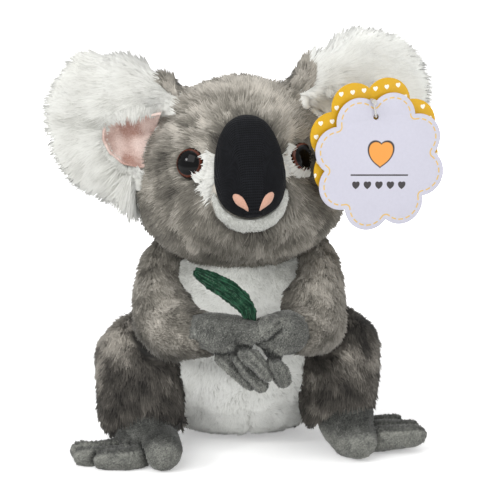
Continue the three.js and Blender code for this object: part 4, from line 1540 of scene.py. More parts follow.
def knitMaterial():
    material, tree, shader = newMaterial("blackKnit", 0.7, 0.0, 0.07)
    knit = placeGroup(tree, makeKnitGroup(), Row=attributeOf(tree, "row"), Stitch=attributeOf(tree, "stitch"))
    cloudy = noiseAt(tree, objectPlace(tree), 320, 3.0)
    base = blend(tree, cloudy, rgb(*noseLook["dark"]), rgb(*noseLook["light"]))
    # painted shade in the gaps between the knit's stitches
    colour = blend(tree, sums(tree, "MULTIPLY", knit.outputs["GapShade"], 0.9), base, rgb(*noseLook["gap"]))
    tree.links.new(colour, shader.inputs["Base Color"])
    bumpFrom(tree, shader, knit.outputs["Height"], 0.7, 0.0004)
    return material


nose = stuffed("noseKnit", ["nose", "nostril_left", "nostril_right"], noseLook)
noseOff = (pointsOf(nose) - noseMiddle) @ noseAxes.T / mm
up = np.clip(noseOff[:, 2] / (noseLook["high"] / 2), 0, 1)
widen = noseLook["fullTop"] * up**1.6 * np.clip((1.02 - up) / 0.1, 0, 1)
noseOff[:, 0] *= 1 + widen
setPoints(nose, noseMiddle + noseOff * mm @ noseAxes)
finishWith(nose, "SMOOTH", factor=0.5, iterations=6)
finishWith(nose, "SUBSURF", levels=1, render_levels=1)
noseOff = (pointsOf(nose) - noseMiddle) @ noseAxes.T / mm
sideways = np.clip(np.abs(noseOff[:, 0]) / (noseLook["wide"] / 2), 0, 1)
ringRun = np.hypot(noseOff[:, 0] * noseLook["high"] / noseLook["wide"], noseOff[:, 2])
follow = np.clip((sideways - 0.25) / 0.6, 0, 1)
follow = follow * follow * (3 - 2 * follow)
putAttribute(nose, "row", (noseOff[:, 2] * (1 - follow) + ringRun * follow) / noseLook["row"])
putAttribute(nose, "stitch", (noseOff[:, 0] * (1 - follow) + noseOff[:, 2] * follow) / noseLook["stitch"])
dress(nose, knitMaterial(), "black_knit", "nose", fill=1.0)


# gap: painted shade between the satin stitch's threads
peach = {"gap": (176, 124, 100), "thread": (232, 186, 164)}


def satinStitchMaterial():
    material, tree, shader = newMaterial("peachSatin", 0.42, 0.15, 0.45)
    run = attributeOf(tree, "stitchRun")
    thread = sums(tree, "SINE", sums(tree, "MULTIPLY", run, 2 * math.pi))
    fine = noiseAt(tree, objectPlace(tree), 1400, 2.0)
    height = sums(tree, "MULTIPLY_ADD", thread, 0.3, sums(tree, "MULTIPLY_ADD", fine, 0.4, 0.3), clamp=True)
    # painted shade between the threads
    colour = blend(tree, height, rgb(*peach["gap"]), rgb(*peach["thread"]))
    tree.links.new(colour, shader.inputs["Base Color"])
    bumpFrom(tree, shader, height, 0.6, 0.0003)
    return material


noseSkin = treeFrom(nose)
peachSatin = satinStitchMaterial()
for side, sign in (("left", -1), ("right", 1)):
    bpy.ops.object.select_all(action="DESELECT")
    bpy.ops.mesh.primitive_uv_sphere_add(
        segments=nostrilLook["segments"], ring_count=nostrilLook["rings"], radius=1
    )
    nostril = bpy.context.object
    nostril.name = "nostril" + side.title()
    disc = pointsOf(nostril)
    splay = math.radians(nostrilLook["splay"])
    middle = np.array(
        [sign * nostrilLook["side"] * noseLook["wide"] / 2, 0, nostrilLook["height"] * noseLook["high"] / 2]
    )
    long = np.array([sign * math.sin(splay), 0, math.cos(splay)])
    wide = np.array([math.cos(splay), 0, -sign * math.sin(splay)])
    run = disc[:, 1]
    # round at the outer end and drawn to a point at the inner one
    breadth = np.clip(1.06 - 0.5 * np.clip(0.25 - run, 0, 2) ** 1.25, 0.12, 1.1)
    flat = (
        middle
        + long * (run * nostrilLook["length"] / 2)[:, None]
        + wide * (disc[:, 0] * breadth * nostrilLook["width"] / 2)[:, None]
    )
    puff = disc[:, 2] * nostrilLook["puff"]
    placed = []
    for spot, lift in zip(flat, puff):
        start = noseMiddle + (spot + nostrilLook["castFrom"]) * mm @ noseAxes
        hit, normal, _, _ = noseSkin.ray_cast(start, noseAxes[1], 0.08)
        if hit is None:
            beside = noseMiddle + (spot + nostrilLook["nearest"]) * mm @ noseAxes
            hit, normal, _, _ = noseSkin.find_nearest(beside)
        placed.append(np.array(hit + normal * float(lift)))
    setPoints(nostril, np.array(placed))
    faceOutward(nostril)
    bpy.ops.object.shade_smooth()
    putAttribute(nostril, "stitchRun", run * nostrilLook["length"] / 2 / nostrilLook["stitch"])
    dress(nostril, peachSatin, "peach_satin", "nostril_" + side)

muzzlePile = {**shortPile, "perSquareMm": 4.0, "length": 0.0016, "width": 0.0005, "root": 0.0003}
muzzleTone = mottled(0.2, 0.3, seed=81, spread=0.12)
muzzle = stuffed("muzzleFleece", ["muzzle_panel"], {"voxel": 0.0013, "smooth": 8, "depth": 0.0004})
paintTone(muzzle, muzzleTone)
muzzleCoats = pileOn(
    "muzzleCoat",
    muzzle,
    muzzlePile,
    combHead,
    muzzleTone,
    None,
    openTo("nose"),
    None,
    82,
)
dress(muzzle, backingOf["fleece"], "pale_plush", "muzzle_panel", fill=0.8)
dressAll(muzzleCoats, coatOf["fleece"], "pale_plush")
stageDone("nose, nostrils and muzzle")

# Eyes

eyeLook = {
    "radius": 8.25,
    "rim": 1.6,
    "dome": 5.2,
    "shank": 2.3,
    "shankLength": 11.0,
    "segments": 64,
    "sunk": 1.5,
    "irisDark": (58, 26, 17),
    "irisLight": (104, 52, 36),
    "pupil": (4, 4, 5),
    "shade": (22, 14, 12),
    "edge": (40, 38, 36),
}


def eyeMaterial():
    material, tree, shader = newMaterial("eyePlastic", 0.4, 0.0, 0.0)
    shader.inputs["Coat Weight"].default_value = 0.5
    shader.inputs["Coat Roughness"].default_value = 0.09
    shader.inputs["Coat IOR"].default_value = 1.36
    out = attributeOf(tree, "outShare")
    ray = noiseAt(tree, objectPlace(tree), 900, 2.0)
    brown = blend(tree, ray, rgb(*eyeLook["irisDark"]), rgb(*eyeLook["irisLight"]))
    colour = blend(tree, smoothStep(tree, out, 0.76, 0.8), rgb(*eyeLook["pupil"]), brown)
    colour = blend(tree, smoothStep(tree, out, 0.88, 0.92), colour, rgb(*eyeLook["shade"]))
    colour = blend(tree, smoothStep(tree, out, 0.95, 0.98), colour, rgb(*eyeLook["edge"]))
    tree.links.new(colour, shader.inputs["Base Color"])
    return material


# a sphere whose rings are moved onto a profile of (radius, height) points, from the top down
def turnedForm(name, profile, segments, seat, aim):
    bpy.ops.object.select_all(action="DESELECT")
    bpy.ops.mesh.primitive_uv_sphere_add(segments=segments, ring_count=len(profile) - 1, radius=1)
    form = bpy.context.object
    form.name = name
    points = pointsOf(form)
    ring = np.rint(np.arccos(np.clip(points[:, 2], -1, 1)) / math.pi * (len(profile) - 1)).astype(int)
    turn = np.arctan2(points[:, 1], points[:, 0])
    shape = np.array(profile)[ring]
    flat = np.stack([shape[:, 0] * np.cos(turn), shape[:, 0] * np.sin(turn), shape[:, 1]], axis=1) * mm
    aimed = Vector(aim).to_track_quat("Z", "Y").to_matrix()
    setPoints(form, flat @ np.array(aimed).T + np.array(seat) * mm)
    pickOnly(form)
    bpy.ops.object.shade_smooth_by_angle(angle=math.radians(40))
    return form, shape


domeSteps = [math.radians(a) for a in range(0, 91, 6)]
eyeProfile = [
    (eyeLook["radius"] * 0.96 * math.sin(a), eyeLook["rim"] + 0.2 + (eyeLook["dome"] - 0.2) * math.cos(a))
    for a in domeSteps
]
eyeProfile += [
    (eyeLook["radius"] - 0.15, eyeLook["rim"] + 0.1),
    (eyeLook["radius"], eyeLook["rim"] - 0.2),
    (eyeLook["radius"], 0.2),
    (eyeLook["radius"] - 0.2, 0.0),
    (eyeLook["shank"] + 0.3, 0.0),
    (eyeLook["shank"], -0.3),
    (eyeLook["shank"], -eyeLook["shankLength"] + 0.4),
    (eyeLook["shank"] - 0.4, -eyeLook["shankLength"]),
    (0.0, -eyeLook["shankLength"]),
]
eyePlastic = eyeMaterial()
for side in sides:
    seat = np.array(eyeSeats[side]) - np.array(eyeAims[side]) * eyeLook["sunk"]
    eye, shape = turnedForm("eye" + side.title(), eyeProfile, eyeLook["segments"], seat, eyeAims[side])
    putAttribute(eye, "outShare", shape[:, 0] / eyeLook["radius"])
    dress(eye, eyePlastic, "eye_plastic", "eye_" + side)
stageDone("eyes")

# Hands and feet: short nap, with puckered seams along the fingers and toes

digits = {
    "handLeft": [
        [(-1.5, -75.3, 69.9, 4.5), (6.3, -78.9, 62.1, 4.9), (13.5, -77.1, 53.7, 4.3)],
        [(-3.6, -72.3, 65.1, 4.3), (4.5, -75, 55.8, 4.9), (10.8, -73.2, 46.8, 4.2)],
        [(-12.6, -64.5, 63.9, 4.8), (-3.6, -69.9, 56.7, 5.1), (6, -69.9, 47.1, 4.2)],
        [(-25.5, -57, 66, 8.7), (-16.5, -64.5, 69, 9.7), (-3, -72.9, 71, 8.6), (5.4, -76.5, 73, 5.8)],
    ],
    "handRight": [
        [(16.5, -74.1, 79.9, 4.6), (14.4, -78, 79.9, 4.9), (12.9, -80.4, 77.5, 4)],
        [(15.3, -72.6, 69.1, 4.2), (18.3, -76.2, 59.5, 5), (22.5, -74.7, 49.9, 4.5)],
        [(33, -57, 66, 9), (24.6, -65.1, 67, 11.5), (18.9, -70.2, 68, 10.8)],
    ],
    "footLeft": [
        [(-56.1, -47.7, 6.3, 6.1), (-70.8, -52.3, 5.7, 6.4), (-84.6, -52.3, 5.5, 5.6)],
        [(-54.2, -57.3, 6, 6.3), (-68.9, -62.4, 5.5, 6.7), (-81.8, -62.9, 5.2, 5.6)],
        [(-46.9, -64.7, 6.3, 6.3), (-59.3, -69.8, 5.5, 6.7), (-70.8, -69.8, 5.2, 5.6)],
        [(-46.4, -49.5, 10.9, 11.7), (-41.8, -61.5, 10.2, 10.9), (-40, -69.8, 9.4, 10.1)],
    ],
    "footRight": [
        [(61.7, -30.6, 8.9, 5.9), (76.4, -24.2, 8.9, 6.1), (84.7, -21.9, 9.4, 5.4)],
        [(61.7, -37.1, 8.3, 6.4), (78.3, -33.4, 8.9, 6.7), (92.5, -30.6, 9.4, 5.6)],
        [(61.7, -45.8, 7.3, 6.4), (78.3, -43.5, 8.3, 6.8), (94.4, -41.7, 9.4, 5.9)],
        [(57.1, -40.8, 12.5, 12), (60.8, -48.1, 11.5, 11.4), (62.6, -53.2, 10.9, 10.9)],
    ],
}
napLook = {
    "hand": {
        "voxel": 0.0008,
        "smooth": 2,
        "tone": 0.48,
        "speckle": 0.17,
        "crease": 0.0028,
        "creaseWidth": 0.0017,
        "groove": 0.0007,
        "width": 0.0008,
        "pucker": 0.00022,
        "pitch": 0.0024,
        "shadeFrom": 0.2,
        "shade": 0.0,
        "faceShade": 0.0,
    },
    "foot": {
        "voxel": 0.0009,
        "smooth": 3,
        "tone": 0.42,
        "speckle": 0.12,
        "crease": 0.0034,
        "creaseWidth": 0.0017,
        "groove": 0.0009,
        "width": 0.0009,
        "pucker": 0.0006,
        "pitch": 0.0026,
        "shadeFrom": 0.014,
        "shade": 0.12,
        "faceShade": 0.26,
    },
}
napCoat = {
    **shortPile,
    "perSquareMm": 3.4,
    "length": 0.001,
    "width": 0.0005,
    "root": 0.0003,
    "lift": 55,
    "fall": 35,
    "stray": 0.6,
    "tuftSize": 0.003,
}


# how far each point lies off the line of one run of a digit, and where along it
def offRun(points, start, end):
    run = end[:3] - start[:3]
    share = np.clip((points - start[:3]) @ run / (run @ run), 0, 1)
    off = points - start[:3] - share[:, None] * run
    return off, np.linalg.norm(off, axis=1), share


# how deep each point lies in the cleft between its own digit and the next one
def cleftShare(points, chains, width):
    gaps = []
    for chain in chains:
        best = np.full(len(points), 1.0)
        for a, b in zip(chain[:-1], chain[1:]):
            start, end = np.array(a) * mm, np.array(b) * mm
            _, far, share = offRun(points, start, end)
            best = np.minimum(best, far - start[3] - share * (end[3] - start[3]))
        gaps.append(best)
    gaps = np.sort(np.array(gaps), axis=0)
    near = np.clip(1 - gaps[1] / 0.004, 0, 1)
    return np.exp(-(((gaps[1] - gaps[0]) / width) ** 2)) * near


# the seam of a digit runs where its front and its edge meet, and round its tip
def seamLines(digit, ways):
    line = np.array(digit)
    along = unit(line[-1, :3] - line[0, :3])
    lines = []
    for way in ways:
        out = unit(np.array(way) - along * np.dot(way, along))
        lines.append((line[:, :3] + out * line[:, 3:4]) * mm)
        tip = (line[-1, :3] + unit(out * 0.7 + along) * line[-1, 3]) * mm
        lines.append(np.array([lines[-1][-1], tip]))
    return lines


# painted sheen on the puckered rim beside each seam, painted shade in the seam's fold and in the clefts
# between digits
napSeam = {
    "rim": 0.22,
    "rimAt": 0.0018,
    "rimWidth": 0.001,
    "fold": 0.35,
    "foldWidth": 0.0006,
    "cleft": 0.9,
    "cleftWidth": 0.9,
    "puckerAt": 0.0022,
    "puckerWidth": 0.0016,
}
seamWays = {"hand": [(0.8, -0.6, 0.1), (-0.8, -0.6, -0.1)], "foot": [(0.0, -0.55, 0.85)]}
napSeeds = {"hand": 95, "foot": 97}
limbSkins = ["arm_skin_" + s for s in sides] + ["leg_skin_" + s for s in sides]
fullTurn = 6.283


# 1 where a digit faces front and down, -1 where it faces up
def frontShare(points, chains):
    best = np.full(len(points), 1.0)
    share = np.zeros(len(points))
    for chain in chains:
        for a, b in zip(chain[:-1], chain[1:]):
            start, end = np.array(a) * mm, np.array(b) * mm
            off, far, _ = offRun(points, start, end)
            nearer = far - start[3] < best
            face = off @ unit(np.array([0.0, -0.8, -0.6])) / np.maximum(far, 1e-6)
            share = np.where(nearer, np.clip(face / 0.35, -1, 1), share)
            best = np.where(nearer, far - start[3], best)
    return share


def napTone(seams, chains, look):
    base = mottled(look["tone"], 0.25, seed=91, spread=look["speckle"])

    def tone(points, rng):
        gap, _ = gapToLines(points, seams)
        # painted sheen along the rim, painted shade in the fold of the seam and in the clefts
        rim = napSeam["rim"] * np.exp(-(((gap - napSeam["rimAt"]) / napSeam["rimWidth"]) ** 2))
        fold = napSeam["fold"] * np.exp(-((gap / napSeam["foldWidth"]) ** 2))
        cleft = cleftShare(points, chains, look["creaseWidth"] * napSeam["cleftWidth"])
        upper = np.clip((points[:, 2] - look["shadeFrom"]) / 0.006, 0, 1)
        value = base(points, rng) + rim - fold - napSeam["cleft"] * cleft - look["shade"] * upper
        return value + look["faceShade"] * frontShare(points, chains) * (1 - upper * 0.5)

    return tone


napSwells = {
    "handLeft": [((8, -80, 73), 6, (3, -2, 0)), ((-18, -72, 78), 9, (0, -1, 1.5))],
    "handRight": [((26, -76, 72), 9, (0, -1.5, 1))],
    "footLeft": [
        ((-78, -55, 12), 14, (0, -2.5, -2.6)),
        ((-62, -60, 13), 9, (0, -1, -2)),
        ((-42, -72, 8), 7, (0, -1, -1)),
    ],
    "footRight": [((62, -60, 14), 8, (0, -1, -1.5)), ((90, -34, 16), 12, (0, 0, -1))],
}

for kind in ("hand", "foot"):
    look = napLook[kind]
    for side in sides:
        title = side.title()
        name = kind + title
        piece = stuffed(name, [kind + "_skin_" + side, kind + "_stuffing_" + side], look, (), napSwells[name])
        seams = [line for digit in digits[name][:-1] for line in seamLines(digit, seamWays[kind])]
        points = pointsOf(piece)
        cleft = cleftShare(points, digits[name], look["creaseWidth"])
        points = points - normalsOf(piece) * (cleft * look["crease"])[:, None]
        setPoints(piece, points)
        gap, run = gapToLines(points, seams)
        groove = look["groove"] * np.exp(-((gap / look["width"]) ** 2))
        wave = 1 + np.sin(run / look["pitch"] * fullTurn)
        beside = np.exp(-(((gap - napSeam["puckerAt"]) / napSeam["puckerWidth"]) ** 2))
        swell = look["pucker"] * beside * wave
        setPoints(piece, points + normalsOf(piece) * (swell - groove)[:, None])
        tone = napTone(seams, digits[name], look)
        paintTone(piece, tone)
        openNap = openTo(*limbSkins)
        coats = pileOn(name + "Nap", piece, napCoat, combDown, tone, None, openNap, None, napSeeds[kind])
        replaced = (kind + "_skin_" + side, kind + "_stuffing_" + side)
        dress(piece, backingOf["nap"], "short_plush", *replaced, fill=0.7)
        dressAll(coats, coatOf["nap"], "short_plush")
stageDone("hands and feet")

# Leaf

leafLook = {
    "voxel": 0.0006,
    "smooth": 3,
    "groove": 0.0007,
    "width": 0.0007,
    "jag": 0.0005,
    "jagSize": 0.0011,
    "stitch": 0.0016,
    "thread": 0.0005,
    "dark": (8, 36, 24),
    "light": (48, 96, 70),
    # the stitch colour, also used for the painted sheen on the leaf's edge
    "seam": (104, 146, 116),
}
leafRoute = [
    (5, -73, 74.7),
    (5.8, -76.5, 80.9),
    (4.3, -77.5, 88.4),
    (-3, -74.5, 95.2),
    (-13, -70, 100.3),
    (-21.5, -65, 104),
]


def feltMaterial():
    material, tree, shader = newMaterial("greenFelt", 0.9, 0.25, 0.1)
    place = objectPlace(tree)
    fibre = noiseAt(tree, place, 1100, 4.0, 0.7)
    # threads that run along the leaf
    lengthwise = tree.nodes.new("ShaderNodeCombineXYZ")
    tree.links.new(sums(tree, "MULTIPLY", attributeOf(tree, "leafRun"), 0.12), lengthwise.inputs[0])
    tree.links.new(attributeOf(tree, "leafAcross"), lengthwise.inputs[1])
    thread = noiseAt(tree, lengthwise.outputs[0], 1500, 2.0)
    thread = smoothStep(tree, thread, 0.42, 0.68)
    share = sums(tree, "MULTIPLY_ADD", thread, 0.75, sums(tree, "MULTIPLY_ADD", fibre, 0.7, -0.3), clamp=True)
    base = blend(tree, share, rgb(*leafLook["dark"]), rgb(*leafLook["light"]))
    # lighter green on the midrib's stitches, and as painted sheen on the leaf's edge
    seam = sums(tree, "MULTIPLY", smoothStep(tree, attributeOf(tree, "seam"), 0.3, 0.9), 0.5)
    tree.links.new(blend(tree, seam, base, rgb(*leafLook["seam"])), shader.inputs["Base Color"])
    bumpFrom(tree, shader, sums(tree, "ADD", fibre, thread), 0.7, 0.0004)
    return material


leaf = stuffed("feltLeaf", ["leaf"], leafLook)
leafPoints = pointsOf(leaf)
flatten = np.array([1.0, 0.0, 1.0])
gap, run = gapToLines(leafPoints * flatten, [np.array(leafRoute) * flatten * mm])
stitch = 0.5 + 0.5 * np.sin(run / leafLook["stitch"] * fullTurn)
jag = (softNoise(leafPoints, leafLook["jagSize"], 15) - 0.5) * 2 * leafLook["jag"]
push = jag - leafLook["groove"] * np.exp(-((gap / leafLook["width"]) ** 2)) * (0.5 + 0.5 * stitch)
setPoints(leaf, leafPoints + normalsOf(leaf) * push[:, None])
# painted sheen: lighter where the leaf's face turns side-on to the front
rim = 0.55 * np.clip(1 - np.abs(normalsOf(leaf)[:, 1]) / 0.5, 0, 1)
midrib = np.exp(-((gap / leafLook["thread"]) ** 2)) * (0.55 + 0.3 * stitch)
# seam holds the midrib's stitches and the painted sheen on the edge
putAttribute(leaf, "seam", np.maximum(midrib, rim))
putAttribute(leaf, "leafRun", run)
putAttribute(leaf, "leafAcross", gap)
dress(leaf, feltMaterial(), "green_felt", "leaf")
stageDone("leaf")

# Tag cards: lobed outlines with a punched hole, a dashed border, and small hearts

card = {
    "radius": 36.5,
    "lobes": 8,
    "notchShare": 0.84,
    "steps": 18,
    "thick": 0.8,
    "hole": 1.5,
    "drop": 23.5,
    "inset": 2.6,
    "line": 0.75,
    "dashes": 6,
    "dashShare": 0.66,
    "printTurn": 9.5,
    "bevel": 0.00012,
    "paper": ((197, 196, 209), (206, 205, 218)),
    "border": (222, 186, 110),
    "heartEdge": (44, 40, 42),
    "heart": (236, 158, 72),
    "ink": (52, 48, 50),
    "yellow": ((208, 159, 10), (218, 171, 20)),
    "cream": (246, 242, 226),
}
# sizes of the printed marks in millimetres
marks = {
    "heartRise": 3.0,
    "heart": 6.0,
    "heartEdge": 6.8,
    "ruleDrop": 7.0,
    "ruleHalf": 16.0,
    "ruleThin": 0.4,
    "rowPitch": 6.4,
    "rowDrop": 12.6,
    "rowHeart": 1.9,
    "backAcross": 6.3,
    "backUp": 6.6,
    "backHeart": 1.15,
    "plane": 100.0,
}
tagAxes = {
    "across": (0.9511, 0.3090, 0.0),
    "deep": (-0.3090, 0.9511, 0.0),
    "place": (67.5175, -48.72, 191.095),
}
cardPlaces = {"front": (1.9, -2.7, -8.15), "back": (0.0, 0.0, -0.65)}
cardTilt = math.radians(-6.5)
halfLobe = math.pi / card["lobes"]
notch = card["radius"] * card["notchShare"]
lobeRing = (card["radius"] ** 2 - notch**2) / 2 / (card["radius"] - notch * math.cos(halfLobe))
lobeRadius = card["radius"] - lobeRing
lobeSpread = math.atan2(notch * math.sin(halfLobe), notch * math.cos(halfLobe) - lobeRing)


def cardOutline():
    points = []
    for i in range(card["lobes"]):
        aim = halfLobe * (2 * i + 1)
        for step in range(card["steps"]):
            turn = aim - lobeSpread + 2 * lobeSpread * step / card["steps"]
            points.append(
                (
                    lobeRing * math.cos(aim) + lobeRadius * math.cos(turn),
                    lobeRing * math.sin(aim) + lobeRadius * math.sin(turn),
                )
            )
    return points


def makeHeartGroup():
    group, enter, leave = newGroup(
        "heartMask",
        [("Across", "Float", 0.0), ("Up", "Float", 0.0), ("Size", "Float", 1.0)],
        [("Mask", "Float")],
    )
    put = enter.outputs
    x = sums(group, "DIVIDE", put["Across"], put["Size"])
    y = sums(group, "DIVIDE", put["Up"], put["Size"])
    xx = sums(group, "MULTIPLY", x, x)
    yy = sums(group, "MULTIPLY", y, y)
    ball = sums(group, "SUBTRACT", sums(group, "ADD", xx, yy), 1.0)
    cleft = sums(group, "MULTIPLY", sums(group, "POWER", xx, 1 / 3), y)
    group.links.new(smoothStep(group, sums(group, "SUBTRACT", cleft, ball), 0.0, 0.15), leave.inputs["Mask"])
    return group


def lengthOf(tree, across, up):
    squares = sums(tree, "MULTIPLY_ADD", across, across, sums(tree, "MULTIPLY", up, up))
    return sums(tree, "SQRT", squares)


def makeBorderGroup():
    group, enter, leave = newGroup(
        "dashedBorder", [("Across", "Float", 0.0), ("Up", "Float", 0.0)], [("Mask", "Float")]
    )
    put = enter.outputs
    turn = sums(group, "DIVIDE", sums(group, "ARCTAN2", put["Up"], put["Across"]), 2 * halfLobe)
    folded = sums(group, "SUBTRACT", sums(group, "FRACT", sums(group, "ADD", turn, 16.0)), 0.5)
    folded = sums(group, "MULTIPLY", folded, 2 * halfLobe)
    far = lengthOf(group, put["Across"], put["Up"])
    u = sums(group, "SUBTRACT", sums(group, "MULTIPLY", far, sums(group, "COSINE", folded)), lobeRing)
    v = sums(group, "MULTIPLY", far, sums(group, "SINE", folded))
    out = lengthOf(group, u, v)
    around = sums(group, "ARCTAN2", v, u)
    outer = sums(group, "LESS_THAN", sums(group, "ABSOLUTE", around), lobeSpread)
    # beside a notch the border runs round the notch's own point
    toNotchU = sums(group, "SUBTRACT", u, lobeRadius * math.cos(lobeSpread))
    toNotchV = sums(group, "SUBTRACT", sums(group, "ABSOLUTE", v), lobeRadius * math.sin(lobeSpread))
    toNotch = lengthOf(group, toNotchU, toNotchV)
    edge = sums(group, "SUBTRACT", lobeRadius, out)
    inner = sums(group, "SUBTRACT", 1.0, outer)
    edge = sums(group, "MULTIPLY_ADD", edge, outer, sums(group, "MULTIPLY", toNotch, inner))
    off = sums(group, "ABSOLUTE", sums(group, "SUBTRACT", edge, card["inset"]))
    line = smoothStep(group, off, card["line"] / 2 + 0.08, card["line"] / 2 - 0.08)
    dash = sums(group, "MULTIPLY_ADD", around, card["dashes"] / 2 / lobeSpread, 32.5)
    shown = sums(group, "LESS_THAN", sums(group, "FRACT", dash), card["dashShare"])
    shown = sums(group, "MAXIMUM", shown, inner)
    group.links.new(sums(group, "MULTIPLY", line, shown), leave.inputs["Mask"])
    return group


heartGroup = makeHeartGroup()
borderGroup = makeBorderGroup()


# card coordinates in millimetres from the middle of the card
def cardPlane(tree):
    uv = tree.nodes.new("ShaderNodeUVMap")
    uv.uv_map = "cardPrint"
    parts = tree.nodes.new("ShaderNodeSeparateXYZ")
    tree.links.new(uv.outputs[0], parts.inputs[0])
    wide = marks["plane"]
    return tuple(sums(tree, "MULTIPLY_ADD", parts.outputs[i], wide, -wide / 2) for i in (0, 1))


# the print stands level though the card hangs askew
def turnedPlane(tree, across, rise, degrees):
    c, s = math.cos(math.radians(degrees)), math.sin(math.radians(degrees))
    level = sums(tree, "MULTIPLY_ADD", across, c, sums(tree, "MULTIPLY", rise, -s))
    upright = sums(tree, "MULTIPLY_ADD", across, s, sums(tree, "MULTIPLY", rise, c))
    return level, upright


def paperShare(tree):
    return noiseAt(tree, objectPlace(tree), 700, 3.0)


def frontCardMaterial():
    material, tree, shader = newMaterial("whiteCard", 0.45, 0.0, 0.35)
    across, rise = cardPlane(tree)
    colour = blend(tree, paperShare(tree), *[rgb(*paper) for paper in card["paper"]])
    border = placeGroup(tree, borderGroup, Across=across, Up=rise)
    colour = blend(tree, border.outputs[0], colour, rgb(*card["border"]))
    across, rise = turnedPlane(tree, across, rise, card["printTurn"])
    lifted = sums(tree, "SUBTRACT", rise, marks["heartRise"])
    for key in ("heartEdge", "heart"):
        heart = placeGroup(tree, heartGroup, Across=across, Up=lifted, Size=marks[key])
        colour = blend(tree, heart.outputs[0], colour, rgb(*card[key]))
    within = sums(tree, "LESS_THAN", sums(tree, "ABSOLUTE", across), marks["ruleHalf"])
    flat = sums(tree, "ABSOLUTE", sums(tree, "ADD", rise, marks["ruleDrop"]))
    rule = sums(tree, "MULTIPLY", sums(tree, "LESS_THAN", flat, marks["ruleThin"]), within)
    colour = blend(tree, rule, colour, rgb(*card["ink"]))
    cell = sums(tree, "FRACT", sums(tree, "MULTIPLY_ADD", across, 1 / marks["rowPitch"], 0.5))
    cell = sums(tree, "MULTIPLY", sums(tree, "SUBTRACT", cell, 0.5), marks["rowPitch"])
    below = sums(tree, "ADD", rise, marks["rowDrop"])
    small = placeGroup(tree, heartGroup, Across=cell, Up=below, Size=marks["rowHeart"])
    colour = blend(tree, sums(tree, "MULTIPLY", small.outputs[0], within), colour, rgb(*card["ink"]))
    tree.links.new(colour, shader.inputs["Base Color"])
    return material


def backCardMaterial():
    material, tree, shader = newMaterial("yellowCard", 0.45, 0.0, 0.35)
    across, rise = cardPlane(tree)
    colour = blend(tree, paperShare(tree), *[rgb(*yellow) for yellow in card["yellow"]])
    rowOf = sums(tree, "MULTIPLY_ADD", rise, 1 / marks["backUp"], 20.0)
    shift = sums(tree, "MULTIPLY", sums(tree, "MODULO", sums(tree, "FLOOR", rowOf), 2.0), 0.5)
    column = sums(tree, "ADD", sums(tree, "MULTIPLY_ADD", across, 1 / marks["backAcross"], 20.0), shift)
    u = sums(tree, "MULTIPLY", sums(tree, "SUBTRACT", sums(tree, "FRACT", column), 0.5), marks["backAcross"])
    v = sums(tree, "MULTIPLY", sums(tree, "SUBTRACT", sums(tree, "FRACT", rowOf), 0.5), marks["backUp"])
    heart = placeGroup(tree, heartGroup, Across=u, Up=v, Size=marks["backHeart"])
    colour = blend(tree, heart.outputs[0], colour, rgb(*card["cream"]))
    tree.links.new(colour, shader.inputs["Base Color"])
    return material


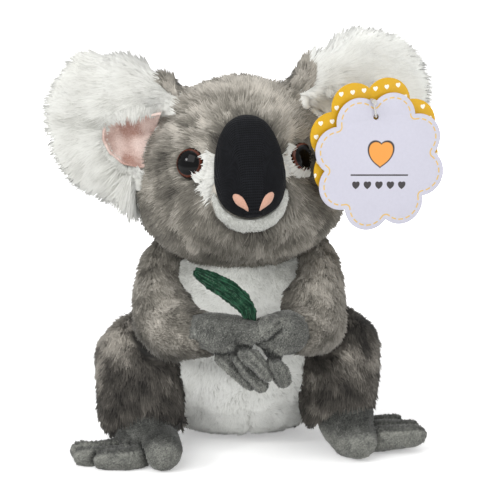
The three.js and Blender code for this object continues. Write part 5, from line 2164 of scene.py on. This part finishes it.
def addCard(name, place, material, slot, node, body):
    outline = cardOutline()
    bpy.ops.object.select_all(action="DESELECT")
    bpy.ops.mesh.primitive_circle_add(vertices=len(outline), radius=1)
    piece = bpy.context.object
    piece.name = name
    setPoints(piece, np.array([(x, 0, z - card["drop"]) for x, z in outline]) * mm)
    bpy.ops.object.mode_set(mode="EDIT")
    bpy.ops.mesh.primitive_circle_add(vertices=24, radius=card["hole"] * mm, rotation=(math.pi / 2, 0, 0))
    bpy.ops.mesh.select_all(action="SELECT")
    bpy.ops.mesh.fill(use_beauty=True)
    bpy.ops.object.mode_set(mode="OBJECT")
    faceOutward(piece)
    finishWith(piece, "SOLIDIFY", thickness=card["thick"] * mm, offset=0.0)
    layer = piece.data.uv_layers.new(name="cardPrint")
    points = pointsOf(piece)
    corners = np.zeros(len(piece.data.loops), dtype=np.int32)
    piece.data.loops.foreach_get("vertex_index", corners)
    uv = np.stack([points[:, 0] / mm, points[:, 2] / mm + card["drop"]], axis=1) / marks["plane"] + 0.5
    layer.data.foreach_set("uv", uv[corners].astype(np.float32).ravel())
    across, deep = np.array(tagAxes["across"]), np.array(tagAxes["deep"])
    turned = np.stack(
        [
            points[:, 0] * math.cos(cardTilt) + points[:, 2] * math.sin(cardTilt),
            points[:, 1],
            points[:, 2] * math.cos(cardTilt) - points[:, 0] * math.sin(cardTilt),
        ],
        axis=1,
    ) + np.array(place) * mm
    world = turned[:, :1] * across + turned[:, 1:2] * deep + turned[:, 2:3] * np.array([0, 0, 1.0])
    setPoints(piece, world + np.array(tagAxes["place"]) * mm)
    sharp = math.radians(60)
    finishWith(piece, "BEVEL", width=card["bevel"], segments=2, limit_method="ANGLE", angle_limit=sharp)
    faceOutward(piece)
    bpy.ops.object.shade_smooth_by_angle(angle=math.radians(35))
    dress(piece, material, slot, node, body=body)


addCard("cardFront", cardPlaces["front"], frontCardMaterial(), "white_card", "tag_card_front", "front_tag")
addCard("cardBack", cardPlaces["back"], backCardMaterial(), "yellow_card", "tag_card_back", "back_tag")
stageDone("tag cards")

# Solids that stay: the tags' stem and ring, and the eyes' washers


def plainPlastic(name, colour, roughness, alpha=1.0):
    material, tree, shader = newMaterial(name, roughness, 0.0, 0.5)
    fine = noiseAt(tree, objectPlace(tree), 600, 3.0)
    darker = (*[c * 0.8 for c in rgb(*colour)[:3]], 1.0)
    tree.links.new(blend(tree, fine, darker, rgb(*colour)), shader.inputs["Base Color"])
    bumpFrom(tree, shader, fine, 0.15, 0.0001)
    shader.inputs["Alpha"].default_value = alpha
    return material


for name, material in (
    ("tag_stem", plainPlastic("clearNylon", (224, 222, 218), 0.25, 0.7)),
    ("tag_ring", plainPlastic("clearNylonRing", (224, 222, 218), 0.25, 0.7)),
    ("eye_washer_left", plainPlastic("washerPlastic", (216, 216, 214), 0.5)),
    ("eye_washer_right", bpy.data.materials["washerPlastic"]),
):
    nodes[name].data.materials.clear()
    nodes[name].data.materials.append(material)

shown = [piece for piece in bpy.context.scene.objects if piece.type == "MESH" and not piece.hide_render]
print("koala: triangles in all", sum(sum(len(f.vertices) - 2 for f in p.data.polygons) for p in shown))
